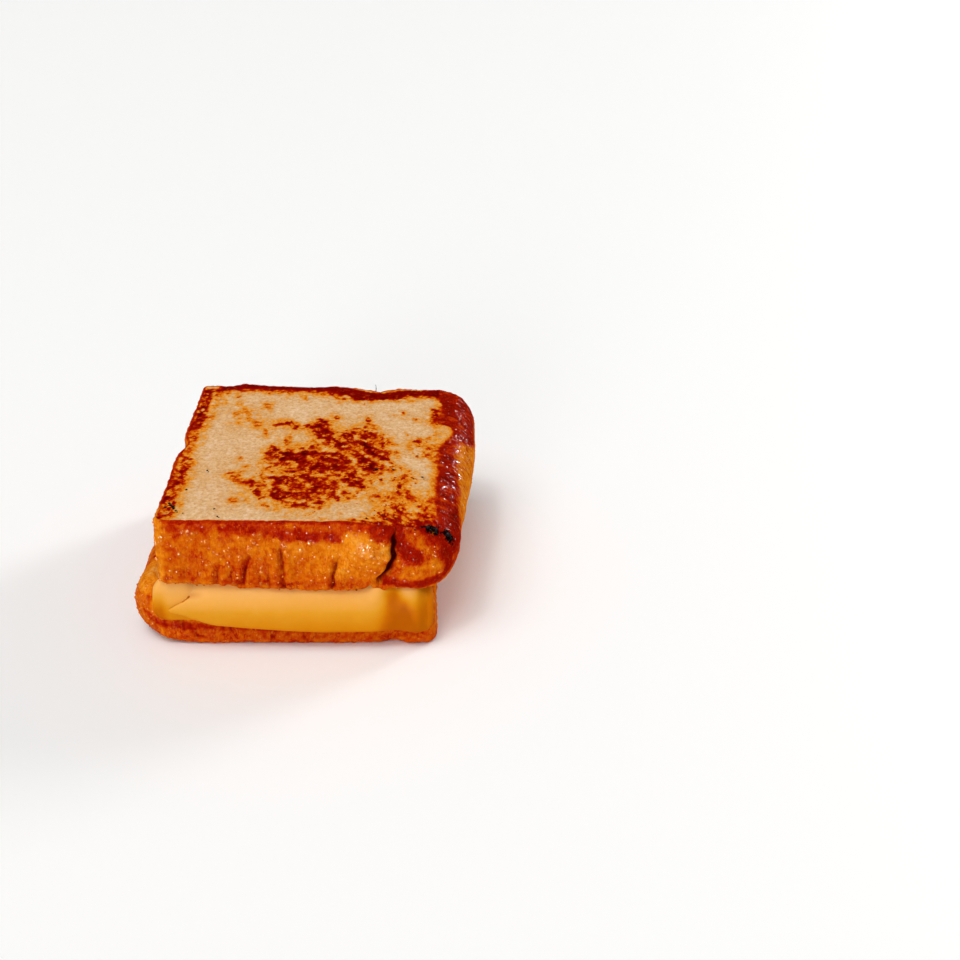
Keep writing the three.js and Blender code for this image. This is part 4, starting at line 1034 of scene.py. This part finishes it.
def build_bits(material, upper_points):
    v, f = ball()
    points, faces, burnt, count = [], [], [], 0

    def put(at, size, scorch, seed):
        nonlocal count
        q = v * size
        q = q * (1 + 0.45 * noise(v * 1.0 + seed * 3.1, 0.8, 401)[:, None] + 0.2 * noise(v + seed * 5.7, 0.35, 402)[:, None])
        turn = seed * 2.399
        c, s = math.cos(turn), math.sin(turn)
        q = np.stack([q[:, 0] * c - q[:, 1] * s, q[:, 0] * s + q[:, 1] * c, q[:, 2]], 1)
        points.append(q + at)
        faces.append(f + count)
        burnt.append(np.full(len(v), scorch))
        count += len(v)

    for k, (x, y, r, tall, scorch) in enumerate(BURNT):
        x, y, z = on_top(upper_points, x, y)
        put((x, y, z + 0.2 * r * tall), (r * (1 + 0.35 * math.sin(k * 1.7)), r * (1 + 0.2 * math.cos(k * 2.3)), r * tall), scorch, k)
    # Heaps of burnt bits on the front right corner, then loose crumbs along the torn lower edge of the front crust.
    rng = np.random.default_rng(17)
    for x0, y0, a, b, turn, many in HEAPS:
        for k in range(many):
            r, angle = math.sqrt(rng.random()), rng.uniform(0, 2 * math.pi)
            u, w = r * a * math.cos(angle), r * b * math.sin(angle)
            size = rng.uniform(0.20, 0.58) * (1.15 - 0.5 * r)
            x, y, z = on_top(upper_points, x0 + u * math.cos(turn) - w * math.sin(turn), y0 + u * math.sin(turn) + w * math.cos(turn))
            put((x, y, z + 0.1 * size), (size, size * rng.uniform(0.7, 1.0), size * 0.8), rng.uniform(0.85, 1.0), 90 + k)
    front = upper_points[(upper_points[:, 1] < -49.5) & (upper_points[:, 2] < 26.2) & (upper_points[:, 2] > 23.0)]
    for k in range(26):
        at = front[rng.integers(len(front))] + [0, -0.1, -0.1]
        if 20 < at[0] < 31:
            continue
        r = rng.uniform(0.22, 0.5)
        put(at, (r, r * 0.8, r * 0.8), rng.uniform(0.15, 0.5), 60 + k)
    tris = np.concatenate(faces)
    p = np.concatenate(points)
    # A burnt strand that stands up on the back edge.
    turns, rings = 8, 14
    s = np.linspace(0, 1, rings)
    z0 = on_top(upper_points, 20.0, 50.2)[2]
    centre = np.stack([20.0 + 0.30 * np.sin(s * 2.2) - 0.25 * s, 50.4 + 0.5 * s, z0 - 0.6 + 3.0 * s], 1)
    radius = 0.20 * (1 - 0.75 * s) * (1 + 0.15 * np.sin(s * 17))
    a = np.arange(turns) * 2 * math.pi / turns
    ring = centre[:, None] + radius[:, None, None] * np.stack([np.cos(a), np.sin(a), 0 * a], 1)[None]
    ids = np.arange(turns * rings).reshape(rings, turns) + len(p)
    nxt = np.roll(ids, -1, 1)
    wall = np.stack([ids[:-1], nxt[:-1], nxt[1:], ids[1:]], -1).reshape(-1, 4)
    fan = lambda r, flip: np.array([(r[0], r[i + 1], r[i], r[i]) if flip else (r[0], r[i], r[i + 1], r[i + 1]) for i in range(1, turns - 1)])
    quads = np.concatenate([np.concatenate([tris, tris[:, 2:]], 1), wall, fan(ids[0], True), fan(ids[-1], False)])
    p = np.concatenate([p, ring.reshape(-1, 3)])
    scorch = np.concatenate(burnt + [np.full(turns * rings, 1.0)])
    return make_object("burnt_bits_and_crumbs", p, quads, dict(scorch=scorch), material)
def build_drops(material, upper_points, upper_toast, lower_points, lower_toast):
    """Drops of butter that stand on the fried crust, wet, in the crust's colour made a little paler: partly the
    butter's own colour, partly a painted highlight.
    """
    v, f = ball()
    rng = np.random.default_rng(41)
    points, faces, toast, count = [], [], [], 0
    up, low = np.column_stack([upper_points, upper_toast]), np.column_stack([lower_points, lower_toast])
    front = up[(up[:, 1] < -49.4) & (up[:, 2] > 25.5) & (up[:, 2] < 47.6)]
    roll = up[(up[:, 0] > 46.5) & (up[:, 2] > 33) & (np.abs(up[:, 1]) < 46)]
    rim = low[(low[:, 0] < -46) & (low[:, 1] < -30) & (low[:, 2] > 4) & (low[:, 2] < 21)]

    def put(where, normal, r, tall, paler_and_glint):
        nonlocal count
        at, level = where[:3], max(0.36, where[3] - paler_and_glint)
        side = np.cross(normal, [0.0, 0.3, 1.0])
        side /= np.linalg.norm(side)
        up = np.cross(side, normal)
        wide = r * (1 + 0.25 * math.sin(count * 0.37))
        q = v[:, :1] * side * wide + v[:, 1:2] * up * r + v[:, 2:] * normal * r * tall
        q = q * (1 + 0.10 * noise(v + count * 0.01, 0.9, 411)[:, None])
        points.append(q + at)
        faces.append(f + count)
        toast.append(np.full(len(v), level))
        count += len(v)

    forward = np.array([0.0, -1.0, 0.25]) / math.hypot(1, 0.25)
    for bx, bz, r in BEADS:
        at = front[np.argmin(np.hypot(front[:, 0] - bx, front[:, 2] - bz))]
        put(at, forward, 0.85 * r, 0.5, 0.10)
    for k in range(420):
        at = front[rng.integers(len(front))]
        crowd = 0.20 + 0.8 * bump(at[0], 23.5, 5) * bump(at[2], 38.5, 4.5) + 0.45 * bump(at[2], 42.0, 3.0) * (at[0] < 14) + 0.2 * bump(at[2], 36, 5)
        if rng.random() > crowd or abs(at[0] - crease_line(at[2])) < 1.6:
            continue
        put(at, forward, rng.uniform(0.22, 0.55), 0.5, rng.uniform(0.02, 0.12))
    for k in range(110):
        at = roll[rng.integers(len(roll))]
        if rng.random() > 0.25 + 0.75 * bump(at[1], 12, 20) or (at[2] > 46.6 and rng.random() < 0.6):
            continue
        out = np.array([0.55, 0.0, 0.83]) if at[2] > 43 else np.array([0.9, 0.0, 0.43])
        put(at, out, rng.uniform(0.2, 0.42), 0.45, rng.uniform(0.0, 0.10))
    for k in range(60):
        at = rim[rng.integers(len(rim))]
        out = np.array([-0.55, -0.75, 0.36])
        put(at, out / np.linalg.norm(out), rng.uniform(0.2, 0.45), 0.5, rng.uniform(0.0, 0.08))
    p = np.concatenate(points)
    zero = np.zeros(len(p))
    level = np.concatenate(toast)
    fields = dict(freckle=zero, toast=level, crumb=zero, pit=zero, painted_crease_shade=zero, char=zero, mottle=zero + 0.12, wet=zero + 1, bead=zero + 1)
    return make_object("butter_drops", p, np.concatenate(faces), fields, material)




# ------------------------------------------------------------------ materials
def srgb(r, g, b, gain=1.0):
    c = np.array([r, g, b]) / 255
    lin = np.where(c <= 0.04045, c / 12.92, ((c + 0.055) / 1.055) ** 2.4) * gain
    return (*[float(min(v, 1.0)) for v in lin], 1.0)


class Nodes:
    def __init__(self, name):
        self.material = bpy.data.materials.new(name)
        self.material.use_nodes = True
        self.tree = self.material.node_tree
        self.tree.nodes.clear()
        self.out = self.add("ShaderNodeOutputMaterial")
        self.shader = self.add("ShaderNodeBsdfPrincipled")
        self.tree.links.new(self.shader.outputs[0], self.out.inputs[0])
        self.coords = self.add("ShaderNodeTexCoord").outputs["Object"]

    def add(self, kind, **values):
        node = self.tree.nodes.new(kind)
        for k, v in values.items():
            setattr(node, k, v)
        return node

    def put(self, socket, value):
        if isinstance(value, bpy.types.NodeSocket):
            self.tree.links.new(value, socket)
        else:
            socket.default_value = value

    def attribute(self, name):
        return self.add("ShaderNodeAttribute", attribute_name=name).outputs["Fac"]

    def math(self, operation, *values, clamped=False):
        node = self.add("ShaderNodeMath", operation=operation, use_clamp=clamped)
        for i, v in enumerate(values):
            self.put(node.inputs[i], v)
        return node.outputs[0]

    def times(self, a, b):
        return self.math("MULTIPLY", a, b)

    def plus(self, *values):
        total = values[0]
        for v in values[1:]:
            total = self.math("ADD", total, v)
        return total

    def noise(self, size, detail=2.0, rough=0.5, vector=None):
        node = self.add("ShaderNodeTexNoise", noise_dimensions="3D")
        self.put(node.inputs["Vector"], vector or self.coords)
        node.inputs["Scale"].default_value = 1 / (size * MM)
        node.inputs["Detail"].default_value = detail
        node.inputs["Roughness"].default_value = rough
        return node.outputs["Fac"]

    def scaled(self, factors, add=0.0):
        node = self.add("ShaderNodeVectorMath", operation="MULTIPLY_ADD")
        self.put(node.inputs[0], self.coords)
        node.inputs[1].default_value = factors
        node.inputs[2].default_value = (add * MM,) * 3
        return node.outputs[0]

    def turned(self, rotation, factors):
        node = self.add("ShaderNodeMapping", vector_type="POINT")
        self.put(node.inputs["Vector"], self.coords)
        node.inputs["Rotation"].default_value = rotation
        node.inputs["Scale"].default_value = factors
        return node.outputs[0]

    def centred(self, value, gain):
        return self.times(self.math("SUBTRACT", value, 0.5), gain)

    def dots(self, size, radius, share):
        """Scattered round dots: 1 at the middle of a dot, 0 away from it; share of the cells hold one."""
        node = self.add("ShaderNodeTexVoronoi", voronoi_dimensions="3D", feature="F1")
        self.put(node.inputs["Vector"], self.coords)
        node.inputs["Scale"].default_value = 1 / (size * MM)
        there = self.math("LESS_THAN", self.add_separate(node.outputs["Color"]), share)
        return self.times(self.range(node.outputs["Distance"], radius / size, radius / size * 0.4, 0.0, 1.0), there)

    def add_separate(self, colour):
        node = self.add("ShaderNodeSeparateColor")
        self.put(node.inputs[0], colour)
        return node.outputs[0]

    def ramp(self, fac, stops):
        node = self.add("ShaderNodeValToRGB")
        e = node.color_ramp.elements
        while len(e) > 1:
            e.remove(e[-1])
        e[0].position, e[0].color = stops[0]
        for pos, col in stops[1:]:
            e.new(pos).color = col
        self.put(node.inputs[0], fac)
        return node.outputs[0]

    def mix(self, fac, a, b, blend="MIX"):
        node = self.add("ShaderNodeMix", data_type="RGBA", blend_type=blend)
        self.put(node.inputs[0], fac)
        self.put(node.inputs[6], a)
        self.put(node.inputs[7], b)
        return node.outputs[2]

    def range(self, value, a, b, c, d):
        node = self.add("ShaderNodeMapRange", clamp=True)
        self.put(node.inputs[0], value)
        for i, v in enumerate((a, b, c, d)):
            self.put(node.inputs[i + 1], v)
        return node.outputs[0]

    def bump(self, height, strength, distance):
        node = self.add("ShaderNodeBump")
        node.inputs["Strength"].default_value = strength
        node.inputs["Distance"].default_value = distance * MM
        self.put(node.inputs["Height"], height)
        self.put(self.shader.inputs["Normal"], node.outputs[0])


GAIN = 1.10
PALE = ((0.00, (219, 180, 131)), (0.13, (211, 162, 105)), (0.20, (219, 157, 78)), (0.28, (221, 146, 46)))
# The brown of the crumb is redder than that of the crust.
CRUMB_RAMP = [
    (pos, srgb(*colour, GAIN))
    for pos, colour in PALE + (
        (0.38, (215, 120, 17)), (0.49, (201, 90, 5)), (0.58, (188, 63, 3)), (0.67, (176, 40, 3)), (0.76, (155, 17, 2)), (0.85, (125, 5, 1)), (0.93, (88, 3, 2)), (1.00, (46, 3, 3)),
    )
]
CRUST_RAMP = [
    (pos, srgb(*colour, GAIN))
    for pos, colour in PALE + (
        (0.38, (215, 126, 19)), (0.49, (201, 101, 6)), (0.58, (188, 76, 4)), (0.67, (176, 48, 3)), (0.76, (155, 19, 2)), (0.85, (124, 6, 1)), (0.93, (88, 3, 2)), (1.00, (46, 3, 3)),
    )
]


def bread_material(name):
    m = Nodes(name)
    toast, crumb, pit, painted_crease_shade, char, mottle, wet, bead, freckle = (
        m.attribute(k) for k in ("toast", "crumb", "pit", "painted_crease_shade", "char", "mottle", "wet", "bead", "freckle")
    )
    crust = m.math("SUBTRACT", 1.0, crumb)
    a, b, c = m.noise(3.0, 2.0, 0.5), m.noise(1.25, 2.0, 0.5), m.noise(0.5, 2.0, 0.5)
    grain = m.plus(m.centred(a, 0.6), m.centred(b, 1.15), m.centred(c, 0.45))
    t = m.plus(toast, m.times(grain, mottle))
    # Fine upright wrinkles in the crust.
    lines = m.noise(2.4, 2.0, 0.5, m.scaled((1.0, 1.0, 0.42), 7.0))
    away = m.math("ABSOLUTE", m.math("SUBTRACT", lines, 0.5))
    t = m.plus(t, m.times(m.range(away, 0.0, 0.03, 0.13, 0.0), m.times(crust, m.range(m.noise(6.0, 1.0, 0.5), 0.42, 0.6, 0.1, 1.0))))
    # Freckles where the crumb stood proud, each a round dot.
    spots = m.math("MAXIMUM", m.dots(1.9, 0.62, 0.34), m.dots(1.1, 0.36, 0.26))
    t = m.plus(t, m.times(m.times(spots, freckle), m.range(toast, 0.2, 0.8, 0.58, 0.14)))
    # Pores don't touch the griddle, so they stay paler; creases, folds and wrinkles get painted shade as extra brown.
    t = m.math("SUBTRACT", t, m.times(m.times(pit, 0.42), toast))
    t = m.plus(t, m.times(painted_crease_shade, 0.28))
    # The darkest browning levels out short of black.
    t = m.plus(t, m.times(m.range(t, 0.42, 0.62, -0.06, 0.07), crumb))
    t = m.math("SUBTRACT", t, m.times(m.math("MAXIMUM", m.math("SUBTRACT", t, 0.80), 0.0), 0.72))
    colour = m.mix(crumb, m.ramp(t, CRUST_RAMP), m.ramp(t, CRUMB_RAMP))
    # Cream and tan specks of the open crumb.
    tan = m.times(m.range(m.noise(0.9, 2.0, 0.6), 0.40, 0.66, 0.0, 1.0), m.times(crumb, 0.40))
    colour = m.mix(tan, colour, srgb(206, 150, 90), "MULTIPLY")
    cream = m.times(m.range(m.noise(1.6, 3.0, 0.6, m.scaled((1.0, 1.0, 1.0), 40.0)), 0.47, 0.66, 0.0, 1.0), m.times(crumb, m.range(toast, 0.08, 0.30, 0.62, 0.0)))
    colour = m.mix(cream, colour, srgb(240, 210, 176))
    # Pores in the crumb are painted darker brown: painted shade in the holes.
    colour = m.mix(m.times(m.times(pit, crumb), 0.20), colour, srgb(150, 84, 36))
    # Bright grains in the crust, where butter fried it.
    grains = m.times(m.dots(1.5, 0.42, 0.35), m.times(crust, m.range(toast, 0.45, 0.72, 0.26, 0.05)))
    colour = m.mix(grains, colour, srgb(240, 160, 66))
    # Slanting golden and brown dashes in the skin of the crust.
    slant = m.turned((0.0, math.radians(-62), 0.0), (1.0, 1.0, 0.36))
    dash = m.noise(0.62, 2.0, 0.6, slant)
    colour = m.mix(m.times(m.range(dash, 0.56, 0.68, 0.0, 1.0), m.times(crust, m.range(toast, 0.45, 0.72, 0.26, 0.06))), colour, srgb(240, 154, 54))
    colour = m.mix(m.times(m.range(dash, 0.44, 0.33, 0.0, 1.0), m.times(crust, 0.26)), colour, srgb(146, 42, 5))
    # Pale specks on the crust: partly pale blisters, partly painted glints.
    specks_and_glints = m.times(m.dots(1.3, 0.26, 0.24), m.times(crust, m.range(toast, 0.50, 0.75, 0.30, 0.10)))
    colour = m.mix(specks_and_glints, colour, srgb(255, 206, 140))
    # Painted shade: creases, folds and wrinkles darkened towards black.
    colour = m.mix(m.times(m.times(painted_crease_shade, 0.62), crust), colour, srgb(60, 3, 1))
    burnt = m.range(m.plus(char, m.centred(b, 0.9)), 0.42, 0.60, 0.0, 1.0)
    burnt = m.times(burnt, m.range(char, 0.02, 0.2, 0.0, 1.0))
    colour = m.mix(burnt, colour, srgb(13, 3, 3))
    m.put(m.shader.inputs["Base Color"], colour)
    # Gloss: dry crumb, satin crust, buttered dome; the base has no sheen of its own.
    m.put(m.shader.inputs["Roughness"], m.math("ADD", m.range(wet, 0.0, 1.0, 0.85, 0.45), m.centred(b, 0.2), clamped=True))
    patches = m.range(m.noise(2.2, 3.0, 0.6), 0.50, 0.62, 0.08, 1.0)
    # On the domed side it lies in streaks across the wrinkles.
    streaks = m.range(m.noise(1.0, 2.0, 0.6, m.scaled((0.35, 1.0, 0.35), 3.0)), 0.49, 0.60, 0.04, 1.0)
    patches = m.times(patches, streaks)
    coat = m.math("ADD", m.times(patches, wet), m.plus(m.times(m.dots(1.5, 0.42, 0.35), m.times(crust, 0.15)), bead), clamped=True)
    m.put(m.shader.inputs["Coat Weight"], m.times(coat, m.math("SUBTRACT", 1.0, burnt)))
    m.shader.inputs["Coat Roughness"].default_value = 0.13
    m.shader.inputs["Coat IOR"].default_value = 1.45
    m.shader.inputs["Specular IOR Level"].default_value = 0.0
    m.shader.inputs["Subsurface Weight"].default_value = 0.05
    m.shader.inputs["Subsurface Radius"].default_value = (1.0, 0.4, 0.15)
    m.shader.inputs["Subsurface Scale"].default_value = 0.0012
    m.bump(m.plus(m.times(b, 0.7), m.times(c, 0.45), m.times(m.dots(1.5, 0.55, 0.5), m.times(crust, 0.5))), 0.9, 0.32)
    # The butter on it lies smoother than the crust, with ripples of its own.
    ripple = m.add("ShaderNodeBump")
    ripple.inputs["Strength"].default_value = 0.7
    ripple.inputs["Distance"].default_value = 0.30 * MM
    m.put(ripple.inputs["Height"], m.times(m.noise(0.95, 1.0, 0.5), m.math("SUBTRACT", 1.0, bead)))
    m.put(m.shader.inputs["Coat Normal"], ripple.outputs[0])
    return m.material


def cheese_material(name):
    m = Nodes(name)
    cheese_light_and_shade, nick = m.attribute("cheese_light_and_shade"), m.attribute("nick")
    soft, fine = m.noise(9.0, 2.0, 0.5), m.noise(0.7, 2.0, 0.5)
    # cheese_light_and_shade is painted light and shade; it picks the colour from pale to deep orange.
    t = m.plus(cheese_light_and_shade, m.centred(soft, 0.12), m.centred(m.noise(2.4, 2.0, 0.5), 0.06))
    stops = [(0.0, (255, 203, 116)), (0.12, (248, 184, 100)), (0.36, (240, 171, 74)), (0.55, (230, 158, 38)), (0.72, (218, 134, 8)), (0.86, (204, 108, 1)), (1.0, (184, 90, 0))]
    colour = m.ramp(t, [(pos, srgb(*c, 0.89)) for pos, c in stops])
    colour = m.mix(m.times(fine, 0.05), colour, srgb(180, 104, 20))
    # The nick's slit is painted darker: painted shade in the cut.
    colour = m.mix(m.times(nick, 0.75), colour, srgb(150, 66, 4))
    m.put(m.shader.inputs["Base Color"], colour)
    m.put(m.shader.inputs["Roughness"], m.range(m.noise(3.0, 2.0, 0.5), 0.3, 0.7, 0.44, 0.56))
    m.shader.inputs["Specular IOR Level"].default_value = 0.008
    m.shader.inputs["Subsurface Weight"].default_value = 0.10
    m.shader.inputs["Subsurface Radius"].default_value = (1.0, 0.5, 0.1)
    m.shader.inputs["Subsurface Scale"].default_value = 0.002
    m.bump(m.plus(m.times(soft, 0.5), m.times(m.noise(1.6, 2.0, 0.5), 0.4)), 0.3, 0.10)
    return m.material


def bits_material(name):
    m = Nodes(name)
    scorch = m.attribute("scorch")
    b, c = m.noise(0.6, 3.0, 0.6), m.noise(0.2, 2.0, 0.6)
    t = m.plus(scorch, m.centred(b, 0.5))
    colour = m.ramp(t, [(0.0, srgb(224, 158, 84)), (0.3, srgb(200, 96, 22)), (0.55, srgb(112, 26, 5)), (0.78, srgb(40, 6, 3)), (1.0, srgb(11, 3, 3))])
    m.put(m.shader.inputs["Base Color"], colour)
    m.put(m.shader.inputs["Roughness"], m.range(b, 0.3, 0.7, 0.35, 0.75))
    m.shader.inputs["Specular IOR Level"].default_value = 0.05
    m.bump(m.plus(b, m.times(c, 0.6)), 0.8, 0.15)
    return m.material


def floor_material():
    m = Nodes("floor")
    m.put(m.shader.inputs["Base Color"], (0.985, 0.985, 0.98, 1))
    m.shader.inputs["Roughness"].default_value = 0.6
    m.shader.inputs["Specular IOR Level"].default_value = 0.1
    return m.material


# ------------------------------------------------------------------ build
bread_a, bread_b = bread_material("bread_upper_finish"), bread_material("bread_lower_finish")
cheese_a = cheese_material("cheese_finish")
upper, upper_points, upper_toast = build_upper(bread_a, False)
lower, lower_points, lower_toast = build_lower(bread_b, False)
sheet_low = build_cheese("cheese_lower_looks", LOWER_SHEET, cheese_a, 200, 130)
sheet_high = build_cheese("cheese_upper_looks", UPPER_SHEET, cheese_a, 240, 150)
bits = build_bits(bits_material("burnt_bits_finish"), upper_points)
drops = build_drops(bread_material("butter_drops_finish"), upper_points, upper_toast, lower_points, lower_toast)
for piece, node, slot in (
    (upper, "bread_upper", "toasted_bread"),
    (lower, "bread_lower", "toasted_bread"),
    (sheet_low, "cheese_lower", "cheese"),
    (sheet_high, "cheese_upper", "cheese"),
    (bits, None, "toasted_bread"),
    (drops, None, "toasted_bread"),
):
    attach(piece, "root")
    if node:
        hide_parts(node)

# ------------------------------------------------------------------ floor, light, camera
scene = bpy.context.scene
floor_mesh = bpy.data.meshes.new("floor")
floor_mesh.from_pydata([(-5, -4, 0), (5, -4, 0), (5, 8, 0), (-5, 8, 0)], [], [(0, 1, 2, 3)])
floor = bpy.data.objects.new("floor", floor_mesh)
floor_mesh.materials.append(floor_material())
scene.collection.objects.link(floor)

world = bpy.data.worlds.new("studio")
scene.world = world
world.use_nodes = True
world.node_tree.nodes["Background"].inputs[0].default_value = (1.0, 0.99, 0.975, 1)
world.node_tree.nodes["Background"].inputs[1].default_value = 0.29
world.cycles_visibility.glossy = False


def sun(name, direction, strength, angle):
    light = bpy.data.lights.new(name, "SUN")
    light.energy, light.angle = strength, math.radians(angle)
    o = bpy.data.objects.new(name, light)
    o.rotation_euler = Vector(direction).to_track_quat("-Z", "Y").to_euler()
    scene.collection.objects.link(o)
    return o


key = sun("key", (0.30, 0.35, -1.0), 1.45, 50)
key.visible_glossy = False
sun("glint", (0.26, 0.35, -1.0), 0.34, 9)
sun("front", (0.24, 0.90, -0.17), 0.89, 20)
sun("rim", (-0.72, -0.58, -0.36), 1.10, 18)
# Small lamps that only show as reflections in the butter.
for name, direction, strength in (("sparkle_front", (0.20, 0.95, -0.15), 7.0), ("sparkle_back", (-0.75, -0.55, -0.36), 3.0), ("sparkle_top", (-0.485, -0.78, -0.389), 2.7)):
    sun(name, direction, strength, 8).visible_diffuse = False

data = bpy.data.cameras.new("camera")
data.lens, data.sensor_width = 55.5, 36.0
data.clip_start, data.clip_end = 0.01, 50
camera = bpy.data.objects.new("camera", data)
camera.location = [float(v) for v in (np.array([59.9, -463.5, 288.7]) + SHIFT) * MM]
camera.rotation_euler = (math.radians(90 - 28.6), 0, 0)
scene.collection.objects.link(camera)
scene.camera = camera
scene.view_settings.view_transform = "Standard"
scene.view_settings.look = "None"
scene.view_settings.exposure = 0
scene.view_settings.gamma = 1
